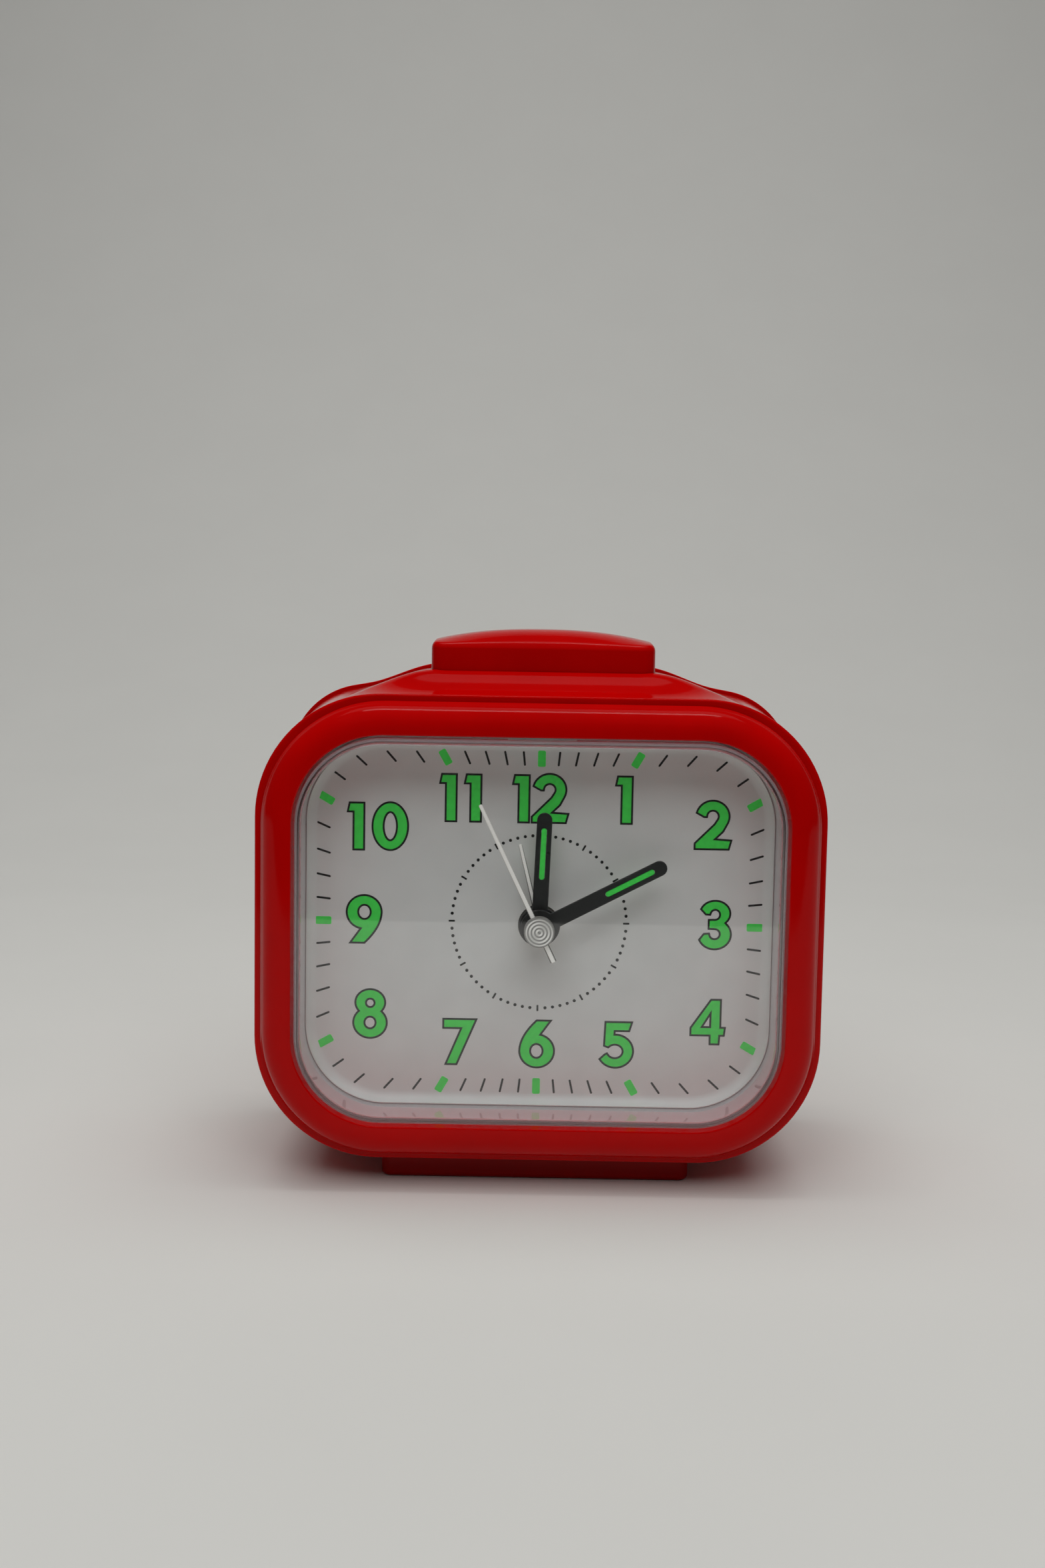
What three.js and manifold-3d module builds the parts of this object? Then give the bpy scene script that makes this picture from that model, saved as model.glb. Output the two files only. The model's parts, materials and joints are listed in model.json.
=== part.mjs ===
// Quartz alarm clock with a bell and a dial light: a two-part case, a clear lens, a printed dial,
// four hands, a geared quartz movement, a bell with its striker, two cells and a snooze button.
// Millimetres. +Z is up, the dial faces -Y, and the origin is on the floor under the middle.
import * as THREE from 'three';
import { mergeVertices } from 'three/addons/utils/BufferGeometryUtils.js';
import Module from 'manifold-3d';

const wasm = await Module();
wasm.setup();

// ---------------------------------------------------------------- driving dimensions
const GAP = 0.3;                     // clearance between separate pieces
const WALL = 2;                      // wall of the moulded case
const CORNER_STEPS = 5;

const APERTURE = { halfWidth: 49.35, halfHeight: 39.25, radius: 18 };   // opening of the bezel
const CASE_Z = 52.8;                 // height of the middle of the case
const ARBOR_Z = 53.2;                // height of the hands' axis

const BEZEL_FRONT_Y = -31;
const TIER_OFFSET = 6.65;            // front tier of the bezel, outside the aperture
const TIER_ROUND = 4.5;
const FLANGE_OFFSET = 8.05;          // rear flange of the bezel, outside the aperture
const FLANGE_SQUARING = 1;           // how much tighter its corners are than concentric ones
const BEZEL_BACK_Y = -22.9;
const COLLAR = { wall: 1.2, backY: -18.95 };   // inner wall of the bezel, down to the lens flange
const LAMP_NOTCH = { halfWidth: 7, height: 3.6, y: [-24.5, -18] };

const LENS_FRONT_Y = -30.9;
const LENS_PANE = 1.2;
const LENS_OUTER_OFFSET = -0.5;
const LENS_INNER_OFFSET = -1.5;
const LENS_FLANGE_OFFSET = 3.2;

const DIAL_Y = -17;
const DIAL_THICKNESS = 1.4;
const DIAL_EDGE_OFFSET = 3.4;
const COVE_RADIUS = 2;
const COVE_OUTER_OFFSET = -1.8;

const BODY = { halfWidth: 56.9, halfHeight: 46.8, frontRadius: 24.6, backRadius: 17 };
const BODY_FRONT_Y = BEZEL_BACK_Y + GAP;
const BODY_BACK_Y = 24.1;
const HUMP = { height: 5.2, flatHalf: 22, footHalf: 43, frontY: -12.6, steps: 9 };
const FOOT = { halfWidth: 31.8, frontY: -21, backY: 23, radius: 2, height: 8 };

const BUTTON = { halfWidth: 23.3, halfDepth: 10.5, y: -1.5, radius: 3, rimZ: 110.1 };
const CROWN = { height: 3.5, power: 2.4, endFall: 0.74 };
const BUTTON_SKIRT_Z = 99.5;
const SPRING_X = 15;
const BRACKET = {
  halfWidth: 26.6, halfDepth: 9, z: [90.2, 91.8], arm: { thickness: 1.2, halfDepth: 5, topZ: 101 },
};

const BUTTON_SPRING = { radius: 2.5, length: 8.1, wire: 0.35, z: 92.5 };

const COVER_LIP = 0.8;               // how far the rear cover stands proud of the case
const COVER_Y = BODY_BACK_Y + GAP;
const COVER_LIP_BACK_Y = 26;
const COVER_BACK_Y = 27.5;
const POST = { x: 46.2, z: 36.3, radius: 3.6, bore: 1.4 };
const CASE_SCREW = { headRadius: 2.8, shankRadius: 1.1, length: 13, seat: 1.2 };
const SCREW_HEAD = 1.4;

const DOOR = { halfWidth: 30, bottomZ: 10.4, topZ: 44.6, thickness: 1.6 };
const LATCH = { halfWidth: 4.6, height: 3.4, thickness: 0.8 };
const TRAY = { halfWidth: 28.1, bottomZ: 11.9, topZ: 43.1, floorY: 10.9, wall: 1.4 };
const CELL = { radius: 7.15, halfLength: 24.6, nubRadius: 2.7, nub: 1.2, y: 18.4 };
const CELL_Z = { upper: 35.2, lower: 19.8 };
const CONTACT = {
  plate: { thickness: 0.5, halfDepth: 5, halfHeight: 5.5 },
  spring: { radius: 3.2, length: 2.1, wire: 0.4 },
};

const MOVEMENT = { half: 28, frontY: -15.3, splitY: -7, backY: 1.8, wall: 1 };
const EAR = { holeX: 31, y: [-11.7, -10.5] };                  // lugs that screw to the dial
const GEAR_THICKNESS = 0.8;
const PLANE = {                      // front face of each wheel
  alarm: -13.9, hour: -12.5, motion: -11.1, centre: -8.5, third: -6.6, second: -4.7, fifth: -2.8,
};
const MODULE = 0.5;                  // tooth size of most of the wheels
const HOUR_MODULE = 8 / 15;
const CENTRE_MODULE = 25.5 / 54;
const ALARM_MODULE = 0.6;
const TEETH = {
  pinion: 6, setPinion: 8, cannon: 8, fifth: 30, second: 36, third: 45, centre: 48,
  motion: 24, hour: 24, alarm: 36, alarmPinion: 12,
};

const HAND_Y = { alarm: -20.5, hour: -22.2, minute: -23.8, second: -27.4 };
const HAND_TURN = { alarm: -14, hour: 2, minute: 62.4, second: -25.8 };   // degrees past twelve
const HAND_THICKNESS = 0.6;
const THIN_HAND = 0.4;               // thickness of the alarm hand and of the second hand
const HAND_SIZE = {
  hour: { halfWidth: 1.55, tip: 23.3, boss: 4.1, slot: { halfWidth: 0.55, low: 9.6, high: 20.2 } },
  minute: { halfWidth: 1.55, tip: 28.7, boss: 3.75, slot: { halfWidth: 0.55, low: 15, high: 26 } },
  alarm: { halfWidth: 0.45, tip: 17.1, boss: 4.3 },
  second: { halfWidth: 0.4, tip: 28, tail: 6.9, cap: { radius: 3.15, frontY: -29.2, backY: -26.6 } },
};
const PIPE = { second: 0.6, minute: 1.5, hour: 2.4, alarm: 3.3, wall: 0.6 };

const DRIVE_COIL = { x: [-8, 12], y: -6.2, rise: 3.9, radius: 3.2 };
const STATOR = { x: [18.5, 21.5], y: [-7, -5.4], shoe: 4.6 };
const MAGNET = { radius: 2.6, y: [-6.9, -5.3] };
const KNOB = { radius: 6.6, frontY: 26.4, backY: 31, flutes: 18 };
const KNOB_RECESS = { halfWidth: 20.5, halfHeight: 9.6, radius: 9.5 };
const SHAFT_RADIUS = 1.2;
const GONG = { x: -33, z: 68, radius: 19, apexY: 7.5, rimY: 18, post: 2.2 };
const GONG_SCREW = { frontY: 5.6, headBackY: 7, tipY: 16, headRadius: 2.9, shankRadius: 0.9 };
const SOUND_SLOTS = { perSide: 3, pitch: 4.4, halfHeight: 0.9, radius: 16, island: 4.2 };
const HAMMER = { x: -8, z: 86, headX: -10.5, headZ: 74, y: 15, topZ: 96, headRadius: 2.5 };
const STRIKER_POST = { x: 14, z: 84 };
const ELECTROMAGNET = { z: 93.5, coreRadius: 1.5, windingRadius: 3.5, yokeX: [11, 12.4] };
const SWITCH = { x: 36, z: 64, halfSlot: 5, travel: 4 };

// ---------------------------------------------------------------- materials
function plastic(color, roughness) {
  return () => new THREE.MeshStandardMaterial({ color, roughness, metalness: 0 });
}

function metal(color, roughness) {
  return () => new THREE.MeshStandardMaterial({ color, roughness, metalness: 1 });
}

function clearPlastic(color, roughness, opacity) {
  return () => new THREE.MeshStandardMaterial({ color, roughness, transparent: true, opacity });
}

const FINISH = {
  redGloss: plastic(0xb80808, 0.18),
  clear: clearPlastic(0xf2f4f8, 0.05, 0.25),
  white: plastic(0xe9e6e8, 0.55),
  black: plastic(0x1c1e1e, 0.45),
  lume: plastic(0x59c864, 0.6),
  silver: metal(0xb9b9b4, 0.3),
  brass: metal(0xb8944a, 0.35),
  steel: metal(0xa2a4a8, 0.35),
  copper: metal(0xb4653a, 0.4),
  gearWhite: plastic(0xf1efe8, 0.5),
  housing: plastic(0x2c2e33, 0.5),
  board: plastic(0x1f6b3c, 0.5),
  cell: plastic(0x3b4046, 0.35),
  redLead: plastic(0xc02020, 0.5),
  blackLead: plastic(0x202020, 0.5),
  lamp: plastic(0xf4f0d8, 0.25),
};

// ---------------------------------------------------------------- solids
function solidOf(geometry) {
  const bare = geometry.clone();
  bare.deleteAttribute('normal');
  bare.deleteAttribute('uv');
  const merged = mergeVertices(bare, 1e-4);
  const corners = merged.index.array;
  const kept = [];
  for (let i = 0; i < corners.length; i += 3) {
    const [a, b, c] = [corners[i], corners[i + 1], corners[i + 2]];
    if (a !== b && b !== c && a !== c) kept.push(a, b, c);
  }
  const vertProperties = new Float32Array(merged.attributes.position.array);
  if (signedVolume(vertProperties, kept) < 0) {
    for (let i = 0; i < kept.length; i += 3) [kept[i], kept[i + 1]] = [kept[i + 1], kept[i]];
  }
  return new wasm.Manifold(new wasm.Mesh({ numProp: 3, vertProperties, triVerts: new Uint32Array(kept) }));
}

function signedVolume(positions, corners) {
  const [a, b, c] = [new THREE.Vector3(), new THREE.Vector3(), new THREE.Vector3()];
  let total = 0;
  for (let i = 0; i < corners.length; i += 3) {
    a.fromArray(positions, 3 * corners[i]);
    b.fromArray(positions, 3 * corners[i + 1]);
    c.fromArray(positions, 3 * corners[i + 2]);
    total += a.dot(b.cross(c)) / 6;
  }
  return total;
}

function geometryOf(solid) {
  const mesh = solid.getMesh();
  const geometry = new THREE.BufferGeometry();
  geometry.setAttribute('position', new THREE.BufferAttribute(new Float32Array(mesh.vertProperties), 3));
  geometry.setIndex(new THREE.BufferAttribute(new Uint32Array(mesh.triVerts), 1));
  geometry.computeVertexNormals();
  return geometry;
}

function fuse(first, ...others) {
  return others.reduce((sum, other) => sum.add(other), first);
}

function cut(first, ...others) {
  return others.reduce((rest, other) => rest.subtract(other), first);
}

function between(a, b) {
  return [Math.min(a, b), Math.max(a, b)];
}

// A block between two corners.
function block(x, y, z) {
  const geometry = new THREE.BoxGeometry(x[1] - x[0], y[1] - y[0], z[1] - z[0]);
  geometry.translate((x[0] + x[1]) / 2, (y[0] + y[1]) / 2, (z[0] + z[1]) / 2);
  return solidOf(geometry);
}

// A round bar along Y, the clock's front-to-back direction.
function rod(x, z, y, radius, steps = 16) {
  const geometry = new THREE.CylinderGeometry(radius, radius, y[1] - y[0], steps);
  geometry.translate(x, (y[0] + y[1]) / 2, z);
  return solidOf(geometry);
}

function rodAlongX(y, z, x, radius, steps = 16) {
  const geometry = new THREE.CylinderGeometry(radius, radius, x[1] - x[0], steps);
  geometry.rotateZ(Math.PI / 2);
  geometry.translate((x[0] + x[1]) / 2, y, z);
  return solidOf(geometry);
}

function rodAlongZ(x, y, z, radius, steps = 16) {
  const geometry = new THREE.CylinderGeometry(radius, radius, z[1] - z[0], steps);
  geometry.rotateX(Math.PI / 2);
  geometry.translate(x, y, (z[0] + z[1]) / 2);
  return solidOf(geometry);
}

// A body of revolution about Y; each profile point is [radius, y].
function turned(profile, x = 0, z = 0, steps = 20) {
  const geometry = new THREE.LatheGeometry(profile.map(([r, y]) => new THREE.Vector2(r, y)), steps);
  geometry.translate(x, 0, z);
  return solidOf(geometry);
}

function tube(outer, inner, y, steps = 16) {
  return cut(rod(0, 0, y, outer, steps), rod(0, 0, [y[0] - 1, y[1] + 1], inner, steps));
}

// An outline in X and Z, swept along Y.
function prism(points, y) {
  const sweep = { depth: y[1] - y[0], bevelEnabled: false };
  const geometry = new THREE.ExtrudeGeometry(new THREE.Shape(points), sweep);
  geometry.rotateX(Math.PI / 2);
  geometry.translate(0, y[1], 0);
  return solidOf(geometry);
}

// A plan outline in X and Y, swept along Z.
function column(points, z) {
  const sweep = { depth: z[1] - z[0], bevelEnabled: false };
  const geometry = new THREE.ExtrudeGeometry(new THREE.Shape(points), sweep);
  geometry.translate(0, 0, z[0]);
  return solidOf(geometry);
}

// A skin over rings of equal point counts. An open row of rings is capped at both ends;
// a closed one runs back to its first ring, like a picture frame.
function skin(rings, { closed = false, flat = 'y' } = {}) {
  const count = rings[0].length;
  const positions = rings.flat().flatMap((p) => [p.x, p.y, p.z]);
  const corners = [];
  const last = closed ? rings.length : rings.length - 1;
  for (let i = 0; i < last; i++) {
    const low = i * count;
    const high = ((i + 1) % rings.length) * count;
    for (let j = 0; j < count; j++) {
      const k = (j + 1) % count;
      corners.push(low + j, low + k, high + k, low + j, high + k, high + j);
    }
  }
  if (!closed) {
    const cap = (ring) => THREE.ShapeUtils.triangulateShape(
      ring.map((p) => new THREE.Vector2(p.x, flat === 'y' ? p.z : p.y)), []);
    const top = (rings.length - 1) * count;
    for (const [a, b, c] of cap(rings[0])) corners.push(c, b, a);
    for (const [a, b, c] of cap(rings[rings.length - 1])) corners.push(top + a, top + b, top + c);
  }
  const geometry = new THREE.BufferGeometry();
  geometry.setAttribute('position', new THREE.Float32BufferAttribute(positions, 3));
  geometry.setIndex(corners);
  return solidOf(geometry);
}

// A wire of a few sides along a curve.
function wire(curve, radius, sides, steps) {
  const section = [];
  for (let i = 0; i < sides; i++) {
    const angle = (2 * Math.PI * i) / sides;
    section.push(new THREE.Vector2(radius * Math.cos(angle), radius * Math.sin(angle)));
  }
  const settings = { steps, extrudePath: curve, bevelEnabled: false };
  return solidOf(new THREE.ExtrudeGeometry(new THREE.Shape(section), settings));
}

class Helix extends THREE.Curve {
  constructor(radius, length, turns) {
    super();
    Object.assign(this, { radius, length, turns });
  }

  getPoint(t, target = new THREE.Vector3()) {
    const angle = 2 * Math.PI * this.turns * t;
    return target.set(this.radius * Math.cos(angle), this.radius * Math.sin(angle), this.length * t);
  }
}

// ---------------------------------------------------------------- outlines
// A rectangle with round corners, anticlockwise from the lower right corner.
function roundedRectangle(halfWidth, halfHeight, radius, steps = CORNER_STEPS) {
  const points = [];
  const corners = [[1, -1, -90], [1, 1, 0], [-1, 1, 90], [-1, -1, 180]];
  for (const [sideX, sideZ, start] of corners) {
    for (let i = 0; i <= steps; i++) {
      const angle = THREE.MathUtils.degToRad(start + (90 * i) / steps);
      const x = sideX * (halfWidth - radius) + radius * Math.cos(angle);
      const z = sideZ * (halfHeight - radius) + radius * Math.sin(angle);
      points.push(new THREE.Vector2(x, z));
    }
  }
  return points;
}

function ring(points, y, midZ = CASE_Z) {
  return points.map((p) => new THREE.Vector3(p.x, y, p.y + midZ));
}

// The aperture's outline moved outwards by an offset.
function apertureRing(offset, y) {
  const { halfWidth, halfHeight } = APERTURE;
  const along = THREE.MathUtils.clamp((offset - TIER_OFFSET) / (FLANGE_OFFSET - TIER_OFFSET), 0, 1);
  const radius = APERTURE.radius + offset - FLANGE_SQUARING * along;
  return ring(roundedRectangle(halfWidth + offset, halfHeight + offset, radius), y);
}

function frameOf(section) {
  return skin(section.map(([offset, y]) => apertureRing(offset, y)), { closed: true });
}

function panelOf(offset, y) {
  return skin([apertureRing(offset, y[0]), apertureRing(offset, y[1])]);
}

// Height of the bell-shaped rise under the button, at a distance from the middle.
function humpRise(x) {
  const { height, flatHalf, footHalf } = HUMP;
  const along = THREE.MathUtils.clamp((Math.abs(x) - flatHalf) / (footHalf - flatHalf), 0, 1);
  return height * 0.5 * (1 + Math.cos(Math.PI * along));
}

// The rise fades to nothing at the bezel in a concave slope.
function humpFade(y) {
  const along = THREE.MathUtils.clamp((HUMP.frontY - y) / (HUMP.frontY - BODY_FRONT_Y), 0, 1);
  return (1 - along) ** 1.8;
}

// Outline of the case at a depth, moved outwards by an offset, with the rise on its top side.
function caseRing(offset, y) {
  const along = THREE.MathUtils.clamp((y - BODY_FRONT_Y) / (BODY_BACK_Y - BODY_FRONT_Y), 0, 1);
  const radius = THREE.MathUtils.lerp(BODY.frontRadius, BODY.backRadius, along) + offset;
  const halfHeight = BODY.halfHeight + offset;
  const base = roundedRectangle(BODY.halfWidth + offset, halfHeight, radius);
  const topRight = 2 * (CORNER_STEPS + 1);
  const edge = base[topRight - 1].x;
  const across = [];
  for (let i = 1; i < HUMP.steps; i++) {
    across.push(new THREE.Vector2(edge * (1 - (2 * i) / HUMP.steps), halfHeight));
  }
  const points = [...base.slice(0, topRight), ...across, ...base.slice(topRight)];
  const fade = humpFade(y);
  return ring(points.map((p) => new THREE.Vector2(p.x, p.y + (p.y > 0 ? humpRise(p.x) * fade : 0))), y);
}

// ---------------------------------------------------------------- toothed wheels
const toRadians = THREE.MathUtils.degToRad;

// A toothed outline with a tooth pointing along +X. Wheels have sharp-bottomed gaps.
function toothedOutline(teeth, module) {
  const pitch = (2 * Math.PI) / teeth;
  const radius = (teeth * module) / 2;
  const isPinion = teeth <= 12;
  const tip = radius + 0.7 * module;
  const root = radius - (isPinion ? 0.95 : 1.35) * module;
  const profile = isPinion
    ? [[root, -0.26], [tip, -0.1], [tip, 0.1], [root, 0.26]]
    : [[tip, -0.12], [tip, 0.12], [root, 0.5]];
  const points = [];
  for (let i = 0; i < teeth; i++) {
    for (const [r, part] of profile) {
      const angle = (i + part) * pitch;
      points.push(new THREE.Vector2(r * Math.cos(angle), r * Math.sin(angle)));
    }
  }
  return points;
}

function gear(teeth, module, y) {
  return prism(toothedOutline(teeth, module), y);
}

function wheel(teeth, module, planeY) {
  return gear(teeth, module, [planeY, planeY + GEAR_THICKNESS]);
}

// The pinion that drives the wheel in a plane is a little wider than that wheel.
function pinion(teeth, module, planeY) {
  return gear(teeth, module, [planeY - 0.4, planeY + GEAR_THICKNESS + 0.4]);
}

// Angle of the driven wheel's first tooth, so that it meshes with a driver whose first tooth
// is at driverPhase, along a line of centres at the angle line.
function meshPhase(driverTeeth, driverPhase, drivenTeeth, line) {
  const driverPitch = 360 / driverTeeth;
  const drivenPitch = 360 / drivenTeeth;
  const lag = (line - driverPhase) / driverPitch;
  return line + 180 + (lag - Math.floor(lag) + 0.5) * drivenPitch;
}

function centreDistance(teethA, teethB, module) {
  return ((teethA + teethB) * module) / 2;
}

function polar(from, distance, angle) {
  const turn = toRadians(angle);
  return { x: from.x + distance * Math.cos(turn), z: from.z + distance * Math.sin(turn) };
}

// Places of the arbors, and the angle of each line of centres.
const CENTRE = { x: 0, z: ARBOR_Z };
const LINE = { fifth: -60, rotor: -20, third: 200, motion: 120, timeSet: 150, alarmSet: 49.4 };
const FIFTH = polar(CENTRE, centreDistance(TEETH.second, TEETH.pinion, MODULE), LINE.fifth);
const ROTOR = polar(FIFTH, centreDistance(TEETH.fifth, TEETH.pinion, MODULE), LINE.rotor);
const THIRD = polar(CENTRE, centreDistance(TEETH.third, TEETH.pinion, MODULE), LINE.third);
const MOTION = polar(CENTRE, centreDistance(TEETH.motion, TEETH.cannon, MODULE), LINE.motion);
const TIME_SET = polar(MOTION, centreDistance(TEETH.motion, TEETH.setPinion, MODULE), LINE.timeSet);
const ALARM_SET = polar(CENTRE, centreDistance(TEETH.alarm, TEETH.alarmPinion, ALARM_MODULE), LINE.alarmSet);

// Angle of each wheel's first tooth at rest; the wheels on the centre arbor come first.
const PHASE = { second: 0, cannon: 0, alarm: 0 };
PHASE.fifth = meshPhase(TEETH.second, PHASE.second, TEETH.pinion, LINE.fifth);
PHASE.rotor = meshPhase(TEETH.fifth, PHASE.fifth, TEETH.pinion, LINE.rotor);
PHASE.third = meshPhase(TEETH.pinion, PHASE.second, TEETH.third, LINE.third);
PHASE.centre = meshPhase(TEETH.pinion, PHASE.third, TEETH.centre, LINE.third + 180);
PHASE.motion = meshPhase(TEETH.cannon, PHASE.cannon, TEETH.motion, LINE.motion);
PHASE.hour = meshPhase(TEETH.pinion, PHASE.motion, TEETH.hour, LINE.motion + 180);
PHASE.timeSet = meshPhase(TEETH.motion, PHASE.motion, TEETH.setPinion, LINE.timeSet);
PHASE.alarmSet = meshPhase(TEETH.alarm, PHASE.alarm, TEETH.alarmPinion, LINE.alarmSet);

// ---------------------------------------------------------------- the scene graph
const clock = new THREE.Group();

function add(name, solid, finish, place = {}) {
  const mesh = new THREE.Mesh(geometryOf(solid), finish());
  mesh.name = name;
  mesh.position.set(place.x ?? 0, place.y ?? 0, place.z ?? 0);
  mesh.rotation.y = toRadians(place.turn ?? 0);
  clock.add(mesh);
}

// A piece made about the Y axis, set on an arbor with its first tooth at an angle.
function addOnArbor(name, solid, finish, arbor, phase = 0) {
  add(name, solid, finish, { ...arbor, turn: -phase });
}

// ---------------------------------------------------------------- case
function buildBezel() {
  const section = [[0, COLLAR.backY], [0, BEZEL_FRONT_Y + 0.3], [0.3, BEZEL_FRONT_Y]];
  for (let i = 0; i <= 4; i++) {
    const angle = toRadians(22.5 * i);
    const offset = TIER_OFFSET - TIER_ROUND * (1 - Math.sin(angle));
    section.push([offset, BEZEL_FRONT_Y + TIER_ROUND * (1 - Math.cos(angle))]);
  }
  section.push([TIER_OFFSET, -26.2], [TIER_OFFSET - 0.45, -26.2], [TIER_OFFSET - 0.45, -25.8]);
  section.push([FLANGE_OFFSET - 0.7, -25.8], [FLANGE_OFFSET - 0.2, -25.6], [FLANGE_OFFSET, -25.1]);
  section.push([FLANGE_OFFSET, BEZEL_BACK_Y]);
  const skirt = BODY.halfWidth - WALL - APERTURE.halfWidth - GAP;
  section.push([skirt, BEZEL_BACK_Y], [skirt, -18.9], [skirt - 3, -18.9], [skirt - 3, -19.9]);
  section.push([skirt - 1.3, -19.9], [skirt - 1.3, -24.9], [COLLAR.wall + 0.6, -28.6], [COLLAR.wall, -28.6],
    [COLLAR.wall, COLLAR.backY]);
  const openingTop = CASE_Z + APERTURE.halfHeight;
  const notch = block([-LAMP_NOTCH.halfWidth, LAMP_NOTCH.halfWidth], LAMP_NOTCH.y,
    [openingTop - 0.4, openingTop + LAMP_NOTCH.height]);
  add('front_bezel', cut(frameOf(section), notch), FINISH.redGloss);
}

function buildLens() {
  const edge = [[LENS_OUTER_OFFSET, DIAL_Y - GAP], [LENS_OUTER_OFFSET, LENS_FRONT_Y + 1.4]];
  edge.push([LENS_OUTER_OFFSET - 0.4, LENS_FRONT_Y + 0.4], [LENS_OUTER_OFFSET - 1.4, LENS_FRONT_Y]);
  const outside = skin(edge.map(([offset, y]) => apertureRing(offset, y)));
  const inside = panelOf(LENS_INNER_OFFSET, [LENS_FRONT_Y + LENS_PANE, DIAL_Y]);
  const backFlange = [DIAL_Y - GAP - 1.3, DIAL_Y - GAP];
  const flange = cut(panelOf(LENS_FLANGE_OFFSET, backFlange), panelOf(LENS_INNER_OFFSET, [-20, -16]));
  add('lens', fuse(cut(outside, inside), flange), FINISH.clear);
}

function buildDial() {
  const section = [[COVE_OUTER_OFFSET, DIAL_Y + 0.5], [COVE_OUTER_OFFSET, DIAL_Y - COVE_RADIUS]];
  const arcMiddle = COVE_OUTER_OFFSET - 0.15 - COVE_RADIUS;
  for (let i = 0; i <= 3; i++) {
    const angle = toRadians(30 * i);
    const y = DIAL_Y - COVE_RADIUS * (1 - Math.sin(angle));
    section.push([arcMiddle + COVE_RADIUS * Math.cos(angle), y]);
  }
  section.push([arcMiddle, DIAL_Y + 0.5]);
  const back = DIAL_Y + DIAL_THICKNESS;
  const plate = panelOf(DIAL_EDGE_OFFSET, [DIAL_Y, back]);
  const bosses = [-1, 1].map((side) => rod(side * EAR.holeX, ARBOR_Z, [back - 0.2, EAR.y[0] - GAP], 2.4, 12));
  const holes = [-1, 1].map((side) => rod(side * EAR.holeX, ARBOR_Z, [back - 0.6, EAR.y[0] + 0.7], 1.1, 10));
  const bore = rod(0, ARBOR_Z, [DIAL_Y - 1, back + 1], PIPE.alarm + 0.5, 24);
  add('dial_plate', cut(fuse(plate, frameOf(section), ...bosses), bore, ...holes), FINISH.white);
}

function buildCaseBody() {
  const slope = [0, 0.25, 0.5, 0.75, 1];
  const stations = slope.map((part) => THREE.MathUtils.lerp(BODY_FRONT_Y, HUMP.frontY, part));
  const outside = skin([...stations, BODY_BACK_Y].map((y) => caseRing(0, y)));
  const past = 0.5;
  const inner = [BODY_FRONT_Y - past, ...stations.slice(1), BODY_BACK_Y + past];
  const inside = skin(inner.map((y) => caseRing(-WALL, y)));
  const plan = (shrink) => {
    const halfDepth = (FOOT.backY - FOOT.frontY) / 2;
    const middle = (FOOT.backY + FOOT.frontY) / 2;
    const points = roundedRectangle(FOOT.halfWidth - shrink, halfDepth - shrink, FOOT.radius, 3);
    return points.map((p) => new THREE.Vector2(p.x, p.y + middle));
  };
  const foot = column(plan(0), [0, FOOT.height]);
  const footHollow = column(plan(WALL), [WALL, FOOT.height + WALL]);
  const shell = cut(fuse(outside, foot), fuse(inside, footHollow));
  const posts = [];
  const holes = [];
  for (const sideX of [-1, 1]) {
    for (const sideZ of [-1, 1]) {
      const [x, z] = [sideX * POST.x, CASE_Z + sideZ * POST.z];
      const reach = between(x, sideX * BODY.halfWidth);
      posts.push(rod(x, z, [-15.2, BODY_BACK_Y - 0.4], POST.radius, 12));
      posts.push(block(reach, [-12, BODY_BACK_Y - 0.4], [z - 0.8, z + 0.8]));
      holes.push(rod(x, z, [10, BODY_BACK_Y + 1], POST.bore, 8));
    }
  }
  const opening = roundedRectangle(BUTTON.halfWidth + GAP, BUTTON.halfDepth + GAP, BUTTON.radius + GAP, 4);
  const buttonHole = column(opening.map((p) => new THREE.Vector2(p.x, p.y + BUTTON.y)), [95, 120]);
  const innerPosts = fuse(...posts).intersect(outside);
  add('case_body', cut(fuse(shell, innerPosts), buttonHole, ...holes), FINISH.redGloss);
}

function coverScrewHoles() {
  const holes = [];
  for (const sideX of [-1, 1]) {
    for (const sideZ of [-1, 1]) {
      const [x, z] = [sideX * POST.x, CASE_Z + sideZ * POST.z];
      const { headRadius, shankRadius, seat } = CASE_SCREW;
      holes.push(rod(x, z, [COVER_Y - 1, COVER_BACK_Y + 1], shankRadius + 0.5, 10));
      holes.push(rod(x, z, [COVER_Y + seat, COVER_BACK_Y + 1], headRadius + 0.4, 12));
    }
  }
  return holes;
}

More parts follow.
